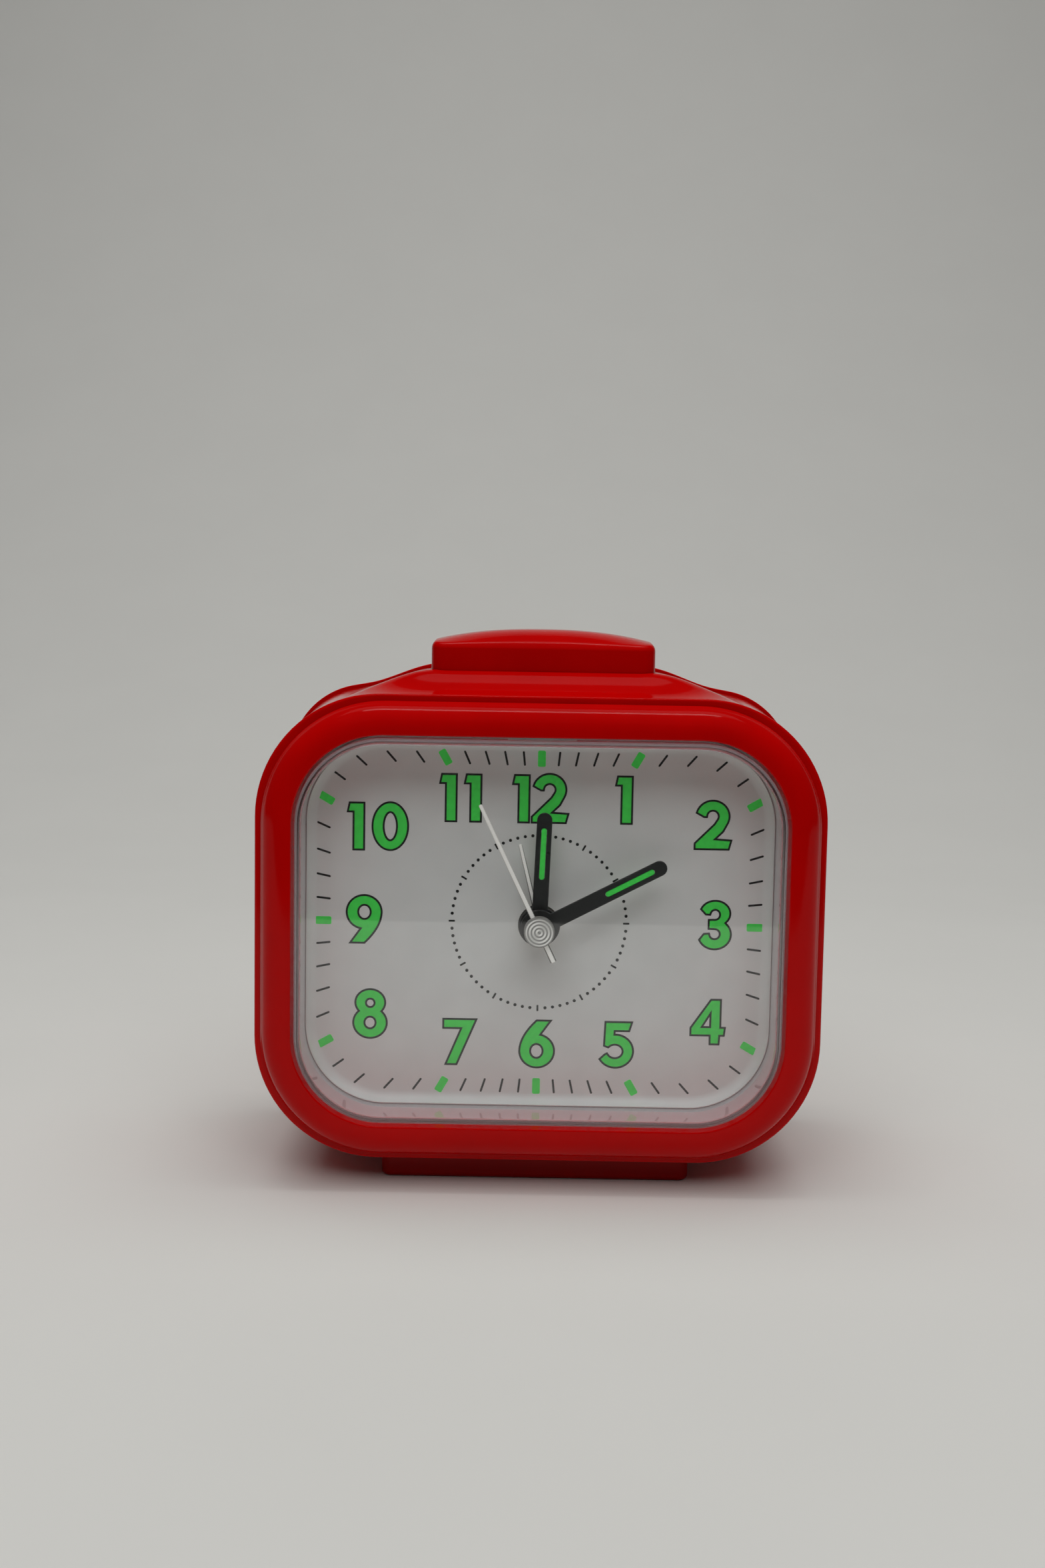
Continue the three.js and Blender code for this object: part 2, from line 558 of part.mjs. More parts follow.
function buildRearCover() {
  const rim = skin([caseRing(COVER_LIP, COVER_Y), caseRing(COVER_LIP, COVER_LIP_BACK_Y),
    caseRing(COVER_LIP - 0.6, COVER_BACK_Y - 0.4), caseRing(COVER_LIP - 1.6, COVER_BACK_Y)]);
  const ribOuter = skin([caseRing(-WALL - GAP, COVER_Y - 3), caseRing(-WALL - GAP, COVER_Y + 0.2)]);
  const ribInner = skin([caseRing(-WALL - 1.6, COVER_Y - 4), caseRing(-WALL - 1.6, COVER_Y + 1)]);
  const corners = [-1, 1].flatMap((sx) => [-1, 1].map((sz) => (
    rod(sx * POST.x, CASE_Z + sz * POST.z, [COVER_Y - 4, COVER_Y - 0.01], POST.radius + 1.2, 12))));
  const webs = [-1, 1].flatMap((sx) => [-1, 1].map((sz) => block(
    between(sx * POST.x, sx * (BODY.halfWidth + 1.1)), [COVER_Y - 4, COVER_Y - 0.01],
    [CASE_Z + sz * POST.z - 2, CASE_Z + sz * POST.z + 2])));
  const rib = cut(ribOuter, ribInner, ...corners, ...webs);
  const { wall } = TRAY;
  const tray = block([-TRAY.halfWidth - wall, TRAY.halfWidth + wall], [TRAY.floorY - wall, COVER_Y + 0.5],
    [TRAY.bottomZ - wall, TRAY.topZ + wall]);
  const trayHollow = block([-TRAY.halfWidth, TRAY.halfWidth], [TRAY.floorY, COVER_BACK_Y + 1],
    [TRAY.bottomZ, TRAY.topZ]);
  const doorRecess = block([-DOOR.halfWidth - GAP, DOOR.halfWidth + GAP],
    [COVER_BACK_Y - DOOR.thickness - GAP, COVER_BACK_Y + 1], [DOOR.bottomZ - GAP, DOOR.topZ + GAP]);
  const latchNotch = block([-LATCH.halfWidth - 0.4, LATCH.halfWidth + 0.4],
    [COVER_BACK_Y - 1.2, COVER_BACK_Y + 1], [DOOR.topZ, DOOR.topZ + LATCH.height + 0.6]);
  const knobMiddle = (TIME_SET.x + ALARM_SET.x) / 2;
  const recessPlan = roundedRectangle(KNOB_RECESS.halfWidth, KNOB_RECESS.halfHeight, KNOB_RECESS.radius, 5);
  const knobRecess = prism(recessPlan.map((p) => new THREE.Vector2(p.x + knobMiddle, p.y + TIME_SET.z)),
    [KNOB.frontY - 0.5, COVER_BACK_Y + 1]);
  const shaftHoles = [TIME_SET, ALARM_SET].map((at) => rod(at.x, at.z, [20, 30], SHAFT_RADIUS + GAP, 12));
  const slots = [];
  for (let i = -SOUND_SLOTS.perSide; i <= SOUND_SLOTS.perSide; i++) {
    const z = GONG.z + i * SOUND_SLOTS.pitch;
    const reach = Math.sqrt(SOUND_SLOTS.radius ** 2 - (z - GONG.z) ** 2);
    slots.push(block([GONG.x - reach, GONG.x + reach], [COVER_Y - 1, COVER_BACK_Y + 1],
      [z - SOUND_SLOTS.halfHeight, z + SOUND_SLOTS.halfHeight]));
  }
  const island = rod(GONG.x, GONG.z, [COVER_Y, COVER_BACK_Y - 0.2], SOUND_SLOTS.island, 16);
  const gongPost = rod(GONG.x, GONG.z, [GONG.apexY + 4, COVER_Y + 0.5], GONG.post, 12);
  const gongBore = rod(GONG.x, GONG.z, [GONG.apexY + 3, COVER_Y - 3], 1.2, 8);
  const switchSlot = block([SWITCH.x - SWITCH.halfSlot, SWITCH.x + SWITCH.halfSlot],
    [COVER_Y - 1, COVER_BACK_Y + 1], [SWITCH.z - 2, SWITCH.z + 2]);
  const strikerPost = rod(STRIKER_POST.x, STRIKER_POST.z, [20.3, COVER_Y + 0.5], GONG.post, 12);
  const plate = cut(fuse(rim, rib, tray), trayHollow, doorRecess, latchNotch, knobRecess, switchSlot,
    ...slots, ...shaftHoles, ...coverScrewHoles());
  add('rear_cover', cut(fuse(plate, island, gongPost, strikerPost), gongBore), FINISH.redGloss);
}

function buildBatteryDoor() {
  const back = COVER_BACK_Y;
  const panel = block([-DOOR.halfWidth, DOOR.halfWidth], [back - DOOR.thickness, back],
    [DOOR.bottomZ, DOOR.topZ]);
  const latch = block([-LATCH.halfWidth, LATCH.halfWidth], [back - LATCH.thickness, back],
    [DOOR.topZ - 0.5, DOOR.topZ + LATCH.height]);
  const grips = [0, 1, 2].map((i) => {
    const top = DOOR.topZ - 3.2 - 2 * i;
    return block([-8, 8], [back - 0.4, back + 0.5], [top - 0.8, top]);
  });
  add('battery_door', fuse(panel, latch, ...grips), FINISH.redGloss);
}

function screw(headRadius, shankRadius, length) {
  return turned([[0, -length], [shankRadius, -length + 1.2], [shankRadius, 0], [headRadius, 0],
    [headRadius * 0.7, SCREW_HEAD], [0, SCREW_HEAD]], 0, 0, 8);
}

function buildCaseScrews() {
  const { headRadius, shankRadius, length, seat } = CASE_SCREW;
  for (const [sideX, side] of [[-1, 'left'], [1, 'right']]) {
    for (const [sideZ, row] of [[1, 'upper'], [-1, 'lower']]) {
      const place = { x: sideX * POST.x, y: COVER_Y + seat + GAP, z: CASE_Z + sideZ * POST.z };
      add(`case_screw_${row}_${side}`, screw(headRadius, shankRadius, length), FINISH.steel, place);
    }
  }
}

// ---------------------------------------------------------------- snooze and light button
function buttonPlan(inset) {
  const radius = Math.max(BUTTON.radius - inset, 0.8);
  const corners = roundedRectangle(BUTTON.halfWidth - inset, BUTTON.halfDepth - inset, radius, 3);
  const reach = BUTTON.halfWidth - inset - radius;
  const along = (side, y) => [-2, -1, 0, 1, 2].map((i) => new THREE.Vector2((side * reach * i) / 3, y));
  const depth = BUTTON.halfDepth - inset;
  return [...corners.slice(0, 8), ...along(-1, depth), ...corners.slice(8), ...along(1, -depth)];
}

function buttonRing(shrink, inset, z) {
  return buttonPlan(inset).map((p) => {
    const [x, y] = [p.x * shrink, p.y * shrink];
    const across = 1 - CROWN.endFall * Math.abs(x / BUTTON.halfWidth) ** CROWN.power;
    const falls = across * (1 - Math.abs(y / BUTTON.halfDepth) ** CROWN.power);
    return new THREE.Vector3(x, y + BUTTON.y, z ?? BUTTON.rimZ + CROWN.height * falls);
  });
}

function buildButton() {
  const rings = [buttonRing(1, 0, BUTTON_SKIRT_Z), buttonRing(1, 0, BUTTON.rimZ - 0.9),
    buttonRing(1, 0.3, BUTTON.rimZ - 0.2), buttonRing(1, 0.9)];
  for (const shrink of [0.84, 0.66, 0.46, 0.24]) rings.push(buttonRing(shrink, 0.9));
  const ceiling = BUTTON.rimZ - 1;
  const inside = column(buttonPlan(1.5).map((p) => new THREE.Vector2(p.x, p.y + BUTTON.y)),
    [BUTTON_SKIRT_Z - 1, ceiling]);
  const shell = cut(skin(rings, { flat: 'z' }), inside);
  const studs = [-1, 1].map((side) => rodAlongZ(side * SPRING_X, BUTTON.y, [101.3, ceiling + 0.2], 2.2, 12));
  const plunger = rodAlongZ(0, BUTTON.y, [99.9, ceiling + 0.2], 2, 12);
  const lips = [-1, 1].map((side) => block(
    between(side * (BUTTON.halfWidth - 1), side * (BUTTON.halfWidth + 1.3)),
    [BUTTON.y - 7.5, BUTTON.y + 7.5], [100.3, 101.4]));
  add('snooze_light_button', fuse(shell, plunger, ...studs, ...lips), FINISH.redGloss);
}

function buildButtonBracket() {
  const { halfWidth, halfDepth, z, arm } = BRACKET;
  const plate = block([-halfWidth, halfWidth], [BUTTON.y - halfDepth, BUTTON.y + halfDepth], z);
  const ends = [-1, 1].map((side) => block(between(side * (halfWidth - arm.thickness), side * halfWidth),
    [BUTTON.y - arm.halfDepth, BUTTON.y + arm.halfDepth], [z[0] + 0.8, arm.topZ]));
  const seatZ = [z[0] + 0.8, z[1] + 1.4];
  const seats = [-1, 1].map((side) => rodAlongZ(side * SPRING_X, BUTTON.y, seatZ, 1.7, 10));
  add('button_bracket', fuse(plate, ...ends, ...seats), FINISH.housing);
  const body = block([-3, 3], [BUTTON.y - 3, BUTTON.y + 3], [z[1] + GAP, z[1] + 3.8]);
  const tip = rodAlongZ(0, BUTTON.y, [z[1] + 3.2, z[1] + 5.4], 1.6, 12);
  add('snooze_switch', fuse(body, tip), FINISH.black);
}

function buildButtonSprings() {
  const coil = wire(new Helix(BUTTON_SPRING.radius, BUTTON_SPRING.length, 4), BUTTON_SPRING.wire, 4, 30);
  for (const [side, name] of [[-1, 'left'], [1, 'right']]) {
    add(`button_spring_${name}`, coil, FINISH.steel, { x: side * SPRING_X, y: BUTTON.y, z: BUTTON_SPRING.z });
  }
}

function buildLamp() {
  const lensTop = CASE_Z + APERTURE.halfHeight;
  add('dial_lamp', block([-1.8, 1.8], [-23.6, -20.8], [lensTop + 0.4, lensTop + 2]), FINISH.lamp);
  add('lamp_board', block([-6, 6], [-24, -20.4], [lensTop + 2.3, lensTop + 3.1]), FINISH.board);
}

// ---------------------------------------------------------------- hands
// A flat hand pointing up from its boss, with a round end, and its tail below the axis.
function handBlade(halfWidth, tail, tip, y, roundSteps = 6) {
  const points = [new THREE.Vector2(halfWidth, -tail)];
  for (let i = 0; i <= roundSteps; i++) {
    const angle = (Math.PI * i) / roundSteps;
    const height = tip - halfWidth * (1 - Math.sin(angle));
    points.push(new THREE.Vector2(halfWidth * Math.cos(angle), height));
  }
  points.push(new THREE.Vector2(-halfWidth, -tail));
  return prism(points, y);
}

function slotOutline(halfWidth, low, high, y) {
  const middle = (low + high) / 2;
  const points = roundedRectangle(halfWidth, (high - low) / 2, halfWidth - 0.01, 3);
  return prism(points.map((p) => new THREE.Vector2(p.x, p.y + middle)), y);
}

function buildPointer(kind, size, finish) {
  const y = [HAND_Y[kind] - HAND_THICKNESS / 2, HAND_Y[kind] + HAND_THICKNESS / 2];
  const blade = fuse(handBlade(size.halfWidth, 0, size.tip, y), rod(0, 0, y, size.boss, 24));
  const bore = rod(0, 0, [y[0] - 1, y[1] + 1], PIPE[kind] + GAP, 16);
  const slot = slotOutline(size.slot.halfWidth + GAP, size.slot.low, size.slot.high, [y[0] - 1, y[1] + 1]);
  addOnArbor(`${kind}_hand`, cut(blade, bore, slot), finish, CENTRE, -HAND_TURN[kind]);
  const fill = slotOutline(size.slot.halfWidth, size.slot.low + GAP, size.slot.high - GAP, y);
  addOnArbor(`${kind}_hand_lume`, fill, FINISH.lume, CENTRE, -HAND_TURN[kind]);
}

function buildHands() {
  buildPointer('hour', HAND_SIZE.hour, FINISH.black);
  buildPointer('minute', HAND_SIZE.minute, FINISH.black);
  const alarmY = [HAND_Y.alarm - THIN_HAND / 2, HAND_Y.alarm + THIN_HAND / 2];
  const { halfWidth, tip, boss } = HAND_SIZE.alarm;
  const alarm = fuse(handBlade(halfWidth, 0, tip, alarmY, 3), rod(0, 0, alarmY, boss, 24));
  const alarmBore = rod(0, 0, [-24, -18], PIPE.alarm + GAP, 16);
  addOnArbor('alarm_hand', cut(alarm, alarmBore), FINISH.silver, CENTRE, -HAND_TURN.alarm);
  const secondY = [HAND_Y.second - THIN_HAND / 2, HAND_Y.second + THIN_HAND / 2];
  const { cap, tail, tip: sweepTip, halfWidth: sweepHalf } = HAND_SIZE.second;
  const capProfile = [[0, cap.frontY], [cap.radius - 0.25, cap.frontY], [cap.radius, cap.frontY + 0.3],
    [cap.radius, cap.backY - 0.4], [1.5, cap.backY], [0, cap.backY]];
  const needle = handBlade(sweepHalf, tail, sweepTip, secondY, 3);
  const sweep = fuse(needle, turned(capProfile, 0, 0, 24));
  const secondBore = rod(0, 0, [-28.4, -26], PIPE.second + GAP, 12);
  addOnArbor('second_hand', cut(sweep, secondBore), FINISH.silver, CENTRE, -HAND_TURN.second);
}

// ---------------------------------------------------------------- movement
function buildCentreStack() {
  const alarmPipe = tube(PIPE.alarm, PIPE.alarm - PIPE.wall, [HAND_Y.alarm - 0.7, PLANE.alarm + 0.2]);
  const alarmBore = rod(0, 0, [-15, -12], PIPE.alarm - PIPE.wall);
  const alarmDisc = cut(wheel(TEETH.alarm, ALARM_MODULE, PLANE.alarm), alarmBore);
  addOnArbor('alarm_wheel', fuse(alarmPipe, alarmDisc), FINISH.gearWhite, CENTRE, PHASE.alarm);

  const hourPipe = tube(PIPE.hour, PIPE.hour - PIPE.wall, [HAND_Y.hour - 1, PLANE.hour + 0.2]);
  const hourBore = rod(0, 0, [-14, -11], PIPE.hour - PIPE.wall);
  const hourDisc = cut(wheel(TEETH.hour, HOUR_MODULE, PLANE.hour), hourBore);
  addOnArbor('hour_wheel', fuse(hourPipe, hourDisc), FINISH.gearWhite, CENTRE, PHASE.hour);

  const minutePipe = rod(0, 0, [HAND_Y.minute - 1.2, PLANE.centre + 1.2], PIPE.minute);
  const cannon = gear(TEETH.cannon, MODULE, [PLANE.motion - 0.3, PLANE.motion + 0.9]);
  const minuteBore = rod(0, 0, [-27, -5], PIPE.minute - PIPE.wall, 12);
  addOnArbor('minute_pipe', cut(fuse(minutePipe, cannon), minuteBore), FINISH.brass, CENTRE, PHASE.cannon);

  const centreBore = rod(0, 0, [-10, -6], PIPE.minute + GAP);
  addOnArbor('centre_drive_wheel', cut(wheel(TEETH.centre, CENTRE_MODULE, PLANE.centre), centreBore),
    FINISH.brass, CENTRE, PHASE.centre);

  const secondArbor = rod(0, 0, [HAND_Y.second - 0.7, MOVEMENT.backY - 1.5], PIPE.second, 12);
  const secondDisc = wheel(TEETH.second, MODULE, PLANE.second);
  const second = fuse(secondArbor, secondDisc, pinion(TEETH.pinion, MODULE, PLANE.third));
  addOnArbor('second_wheel', second, FINISH.brass, CENTRE, PHASE.second);
}

// A wheel with a pinion and an arbor between the plates.
function trainWheel(wheelSolid, pinionSolid, arborY) {
  return fuse(wheelSolid, pinionSolid, rod(0, 0, arborY, 0.6, 10));
}

function buildTrain() {
  const backPivot = MOVEMENT.backY - 1.5;
  const third = trainWheel(wheel(TEETH.third, MODULE, PLANE.third),
    pinion(TEETH.pinion, CENTRE_MODULE, PLANE.centre), [PLANE.centre - 0.4, backPivot]);
  addOnArbor('third_wheel', third, FINISH.gearWhite, THIRD, PHASE.third);

  const fifth = trainWheel(wheel(TEETH.fifth, MODULE, PLANE.fifth),
    pinion(TEETH.pinion, MODULE, PLANE.second), [-5.6, backPivot]);
  addOnArbor('fifth_wheel', fifth, FINISH.gearWhite, FIFTH, PHASE.fifth);

  const magnet = rod(0, 0, MAGNET.y, MAGNET.radius, 16);
  const rotor = trainWheel(magnet, pinion(TEETH.pinion, MODULE, PLANE.fifth), [-7.6, backPivot]);
  addOnArbor('rotor', rotor, FINISH.steel, ROTOR, PHASE.rotor);

  const stud = rod(0, 0, [-13, -9], 0.8, 10);
  const motion = fuse(wheel(TEETH.motion, MODULE, PLANE.motion),
    gear(TEETH.pinion, HOUR_MODULE, [PLANE.hour - 0.1, PLANE.motion + 0.1]));
  addOnArbor('motion_wheel', cut(motion, stud), FINISH.gearWhite, MOTION, PHASE.motion);

  const setter = (teeth, module, planeY) => {
    const pinionY = [planeY - 0.1, planeY + GEAR_THICKNESS + 0.1];
    const shaft = rod(0, 0, [planeY, KNOB.frontY + 1.6], SHAFT_RADIUS, 12);
    return fuse(gear(teeth, module, pinionY), shaft);
  };
  const timeSetter = setter(TEETH.setPinion, MODULE, PLANE.motion);
  addOnArbor('time_set_shaft', timeSetter, FINISH.gearWhite, TIME_SET, PHASE.timeSet);
  const alarmSetter = setter(TEETH.alarmPinion, ALARM_MODULE, PLANE.alarm);
  addOnArbor('alarm_set_shaft', alarmSetter, FINISH.gearWhite, ALARM_SET, PHASE.alarmSet);
}

function knobSolid() {
  const rim = [];
  for (let i = 0; i < KNOB.flutes; i++) {
    for (const [r, part] of [[KNOB.radius, 0], [KNOB.radius - 0.7, 0.5]]) {
      const angle = ((i + part) * 2 * Math.PI) / KNOB.flutes;
      rim.push(new THREE.Vector2(r * Math.cos(angle), r * Math.sin(angle)));
    }
  }
  const grip = prism(rim, [KNOB.frontY, KNOB.backY]);
  return cut(grip, rod(0, 0, [KNOB.frontY - 1, KNOB.frontY + 2], SHAFT_RADIUS + GAP, 12));
}

function buildKnobs() {
  addOnArbor('time_set_knob', knobSolid(), FINISH.redGloss, TIME_SET);
  addOnArbor('alarm_set_knob', knobSolid(), FINISH.redGloss, ALARM_SET);
}

function buildMovementCase() {
  const { half, frontY, splitY, backY, wall } = MOVEMENT;
  const z = [ARBOR_Z - half, ARBOR_Z + half];
  const hollowX = [-half + wall, half - wall];
  const hollowZ = [z[0] + wall, z[1] - wall];
  const front = block([-half, half], [frontY, splitY], z);
  const frontHollow = block(hollowX, [frontY + wall, splitY + 1], hollowZ);
  const ears = [-1, 1].map((side) => block(between(side * (half - 0.5), side * (EAR.holeX + 3)),
    EAR.y, [ARBOR_Z - 3, ARBOR_Z + 3]));
  const earHoles = [-1, 1].map((side) => rod(side * EAR.holeX, ARBOR_Z, [-13, -9], 1.3, 10));
  const pipeHole = rod(0, ARBOR_Z, [frontY - 1, frontY + 2], PIPE.alarm + GAP, 20);
  add('movement_front', cut(fuse(cut(front, frontHollow), ...ears), pipeHole, ...earHoles), FINISH.housing);

  const back = block([-half, half], [splitY + GAP, backY], z);
  const backHollow = block(hollowX, [splitY - 1, backY - 1.2], hollowZ);
  const shaftHoles = [TIME_SET, ALARM_SET].map((at) => rod(at.x, at.z, [0, 3], SHAFT_RADIUS + GAP, 12));
  add('movement_back', cut(back, backHollow, ...shaftHoles), FINISH.housing);

  const bridge = block([-half + wall + GAP, half - wall - GAP], [-9.9, -9.2], [ARBOR_Z - 8, ARBOR_Z + 8.2]);
  const bridgeHole = rod(0, ARBOR_Z, [-11, -8], PIPE.minute + GAP, 16);
  const stud = rod(MOTION.x, MOTION.z, [-12.2, -9.5], 0.5, 10);
  add('bridge_plate', fuse(cut(bridge, bridgeHole), stud), FINISH.brass);

  for (const [side, name] of [[-1, 'left'], [1, 'right']]) {
    const place = { x: side * EAR.holeX, y: EAR.y[1] + GAP, z: ARBOR_Z };
    add(`movement_screw_${name}`, screw(2.2, 0.8, 4.6), FINISH.steel, place);
  }
}

function buildElectronics() {
  const low = ARBOR_Z - MOVEMENT.half + MOVEMENT.wall;
  add('circuit_board', block([-25, 4], [-2.6, -1.6], [low + 0.6, low + 10]), FINISH.board);
  add('quartz_crystal', rodAlongX(-4, low + 8, [-22, -14], 1.1, 12), FINISH.silver);
  const coilZ = low + DRIVE_COIL.rise;
  const bobbin = rodAlongX(DRIVE_COIL.y, coilZ, DRIVE_COIL.x, DRIVE_COIL.radius, 12);
  const bobbinBore = rodAlongX(DRIVE_COIL.y, coilZ, [-9, 13], 1.5, 8);
  add('drive_coil', cut(bobbin, bobbinBore), FINISH.copper);
  const core = rodAlongX(DRIVE_COIL.y, coilZ, [-9.4, STATOR.x[1] + 0.5], 1.1, 8);
  const leg = block(STATOR.x, STATOR.y, [low + 2.8, ROTOR.z + 4]);
  const shoe = block([ROTOR.x - STATOR.shoe, STATOR.x[1]], STATOR.y,
    [ROTOR.z - STATOR.shoe, ROTOR.z + STATOR.shoe]);
  const gapRound = rod(ROTOR.x, ROTOR.z, [-8, -5], MAGNET.radius + 0.5, 16);
  add('stator', cut(fuse(core, leg, shoe), gapRound), FINISH.steel);
}

// ---------------------------------------------------------------- bell
function buildBell() {
  const outer = [];
  const inner = [];
  const depth = GONG.rimY - GONG.apexY;
  for (let i = 0; i <= 3; i++) {
    const angle = toRadians(24 + 22 * i);
    outer.push([GONG.radius * Math.sin(angle), GONG.rimY - depth * Math.cos(angle)]);
    inner.push([(GONG.radius - 1) * Math.sin(angle), GONG.rimY - (depth - 1) * Math.cos(angle)]);
  }
  const profile = [[0, GONG.apexY], ...outer, ...inner.reverse(), [0, GONG.apexY + 1]];
  const dome = turned(profile, GONG.x, GONG.z, 24);
  add('gong', cut(dome, rod(GONG.x, GONG.z, [5, 10], 1.4, 10)), FINISH.silver);
  const { frontY, headBackY, tipY, headRadius, shankRadius } = GONG_SCREW;
  const screwProfile = [[0, frontY], [headRadius - 0.3, frontY], [headRadius, frontY + 0.4],
    [headRadius, headBackY], [shankRadius, headBackY], [shankRadius, tipY], [0, tipY]];
  add('gong_screw', turned(screwProfile, GONG.x, GONG.z, 12), FINISH.steel);
}

function buildStriker() {
  const { x, z, headX, headZ, y, topZ, headRadius } = HAMMER;
  const arm = [[x - 0.8, topZ], [headX - 0.6, headZ], [headX + 0.8, headZ], [x + 1.6, z - 3],
    [x + 1.4, topZ]];
  const strip = prism(arm.map(([across, up]) => new THREE.Vector2(across, up)), [y - 0.6, y + 0.6]);
  const eye = rod(x, z, [y - 1.6, y + 1.6], 2.4, 10);
  const head = rod(headX, headZ, [y - headRadius, y + headRadius], headRadius, 12);
  const plate = block([x - 0.8, x + 1.4], [y - 3, y + 3], [topZ - 5, topZ]);
  add('bell_hammer', cut(fuse(strip, eye, head, plate), rod(x, z, [y - 4, y + 4], 1.1, 12)), FINISH.steel);

  const back = block([x - 3, 17], [19, 20], [z - 5, 97]);
  const pin = rod(x, z, [y - 2, 19.5], 0.8, 12);
  const { z: coilZ, coreRadius, windingRadius, yokeX } = ELECTROMAGNET;
  const yoke = block(yokeX, [y - 3, 19.5], [90, 97]);
  const core = rodAlongX(y, coilZ, [-4.4, yokeX[0] + 0.5], coreRadius, 12);
  add('striker_frame', fuse(back, pin, yoke, core), FINISH.steel);
  const winding = rodAlongX(y, coilZ, [-3.6, yokeX[0] - 0.4], windingRadius, 16);
  const windingBore = rodAlongX(y, coilZ, [-5, 12], coreRadius + GAP, 12);
  add('striker_coil', cut(winding, windingBore), FINISH.copper);
}

// ---------------------------------------------------------------- power and switches
function cellSolid() {
  const { radius, halfLength, nubRadius, nub } = CELL;
  const profile = [[0, -halfLength], [radius - 0.5, -halfLength], [radius, -halfLength + 0.5],
    [radius, halfLength - 0.6], [radius - 0.6, halfLength], [nubRadius, halfLength],
    [nubRadius, halfLength + nub], [0, halfLength + nub]];
  const geometry = new THREE.LatheGeometry(profile.map(([r, y]) => new THREE.Vector2(r, y)), 16);
  geometry.rotateZ(-Math.PI / 2);
  return solidOf(geometry);
}

function buildCells() {
  const cell = cellSolid();
  add('battery_cell_upper', cell, FINISH.cell, { y: CELL.y, z: CELL_Z.upper });
  const turned180 = cell.rotate([0, 0, 180]);
  add('battery_cell_lower', turned180, FINISH.cell, { y: CELL.y, z: CELL_Z.lower });
  const wallX = TRAY.halfWidth - GAP;
  const { plate, spring } = CONTACT;
  for (const [name, side] of [['upper', 1], ['lower', -1]]) {
    const z = CELL_Z[name];
    const leaf = block(between(side * wallX, side * (wallX - plate.thickness)),
      [CELL.y - plate.halfDepth, CELL.y + plate.halfDepth], [z - plate.halfHeight, z + plate.halfHeight]);
    add(`battery_plate_${name}`, leaf, FINISH.silver);
    const helix = new Helix(spring.radius, spring.length, 2);
    const coil = solidOf(geometryOf(wire(helix, spring.wire, 4, 16)).rotateY(Math.PI / 2));
    const x = side > 0 ? plate.thickness - wallX : wallX - plate.thickness - spring.length;
    const place = { x, y: CELL.y, z };
    add(`battery_spring_${name}`, coil, FINISH.silver, place);
  }
}

function buildSwitch() {
  const { x, z, halfSlot, travel } = SWITCH;
  const left = x - halfSlot;
  const grip = block([left + GAP, left + GAP + 5], [COVER_Y - 1.6, COVER_BACK_Y + 1.6], [z - 1.7, z + 1.7]);
  const foot = block([left - 1, left + 7], [COVER_Y - 2.4, COVER_Y - 0.4], [z - 3.4, z + 3.4]);
  add('alarm_switch_slider', fuse(grip, foot), FINISH.black);
  const base = block([left - 3, x + halfSlot + travel], [COVER_Y - 6, COVER_Y - 2.8], [z - 4.4, z + 4.4]);
  add('alarm_switch_base', base, FINISH.housing);
}

function buildLeads() {
  const route = (side, z) => new THREE.CatmullRomCurve3([
    new THREE.Vector3(side * 30.4, 15, z),
    new THREE.Vector3(side * 33, 12, z + 3),
    new THREE.Vector3(side * 32.5, 6, z + 8),
    new THREE.Vector3(side * 31, 3.4, 38 + side),
    new THREE.Vector3(side * 24, 3, 34 + side),
    new THREE.Vector3(side * 14, 2.9, 32),
  ]);
  add('battery_lead_red', wire(route(1, 33), 0.6, 5, 12), FINISH.redLead);
  add('battery_lead_black', wire(route(-1, 22), 0.6, 5, 12), FINISH.blackLead);
}

buildBezel();
buildLens();
buildDial();
buildCaseBody();
buildRearCover();
buildBatteryDoor();
buildCaseScrews();
buildButton();
buildButtonBracket();
buildButtonSprings();
buildLamp();
buildHands();
buildCentreStack();
buildTrain();
buildKnobs();
buildMovementCase();
buildElectronics();
buildBell();
buildStriker();
buildCells();
buildSwitch();
buildLeads();

export default clock;
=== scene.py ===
# Looks of the alarm clock: moulded red case, clear lens, printed dial, hands, bell and cells.
# Lengths are in millimetres unless a name says otherwise; MM turns them into metres.
import json
from math import cos, dist, pi, radians, sin, sqrt, tan

import bmesh
import bpy
from mathutils import Matrix, Vector, geometry


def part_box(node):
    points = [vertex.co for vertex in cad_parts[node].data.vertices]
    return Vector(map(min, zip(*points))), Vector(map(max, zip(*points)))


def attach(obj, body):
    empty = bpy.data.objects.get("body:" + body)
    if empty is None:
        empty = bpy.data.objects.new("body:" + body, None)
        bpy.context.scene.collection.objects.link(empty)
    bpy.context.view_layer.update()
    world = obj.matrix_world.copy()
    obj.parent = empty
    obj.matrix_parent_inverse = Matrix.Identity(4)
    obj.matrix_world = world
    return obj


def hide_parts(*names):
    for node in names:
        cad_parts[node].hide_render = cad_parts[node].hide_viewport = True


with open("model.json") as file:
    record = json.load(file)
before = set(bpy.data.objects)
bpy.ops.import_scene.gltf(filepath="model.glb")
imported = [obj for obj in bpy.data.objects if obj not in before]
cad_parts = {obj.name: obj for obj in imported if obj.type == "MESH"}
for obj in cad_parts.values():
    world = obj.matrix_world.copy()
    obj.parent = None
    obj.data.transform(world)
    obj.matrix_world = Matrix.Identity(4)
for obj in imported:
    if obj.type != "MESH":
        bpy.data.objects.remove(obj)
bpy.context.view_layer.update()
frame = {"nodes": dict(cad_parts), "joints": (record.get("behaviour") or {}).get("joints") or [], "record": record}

MM = 0.001


# ---- measures from the frame
def mm_box(node):
    """The lower and the upper corner of a node's box."""
    low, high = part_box(node)
    return low / MM, high / MM


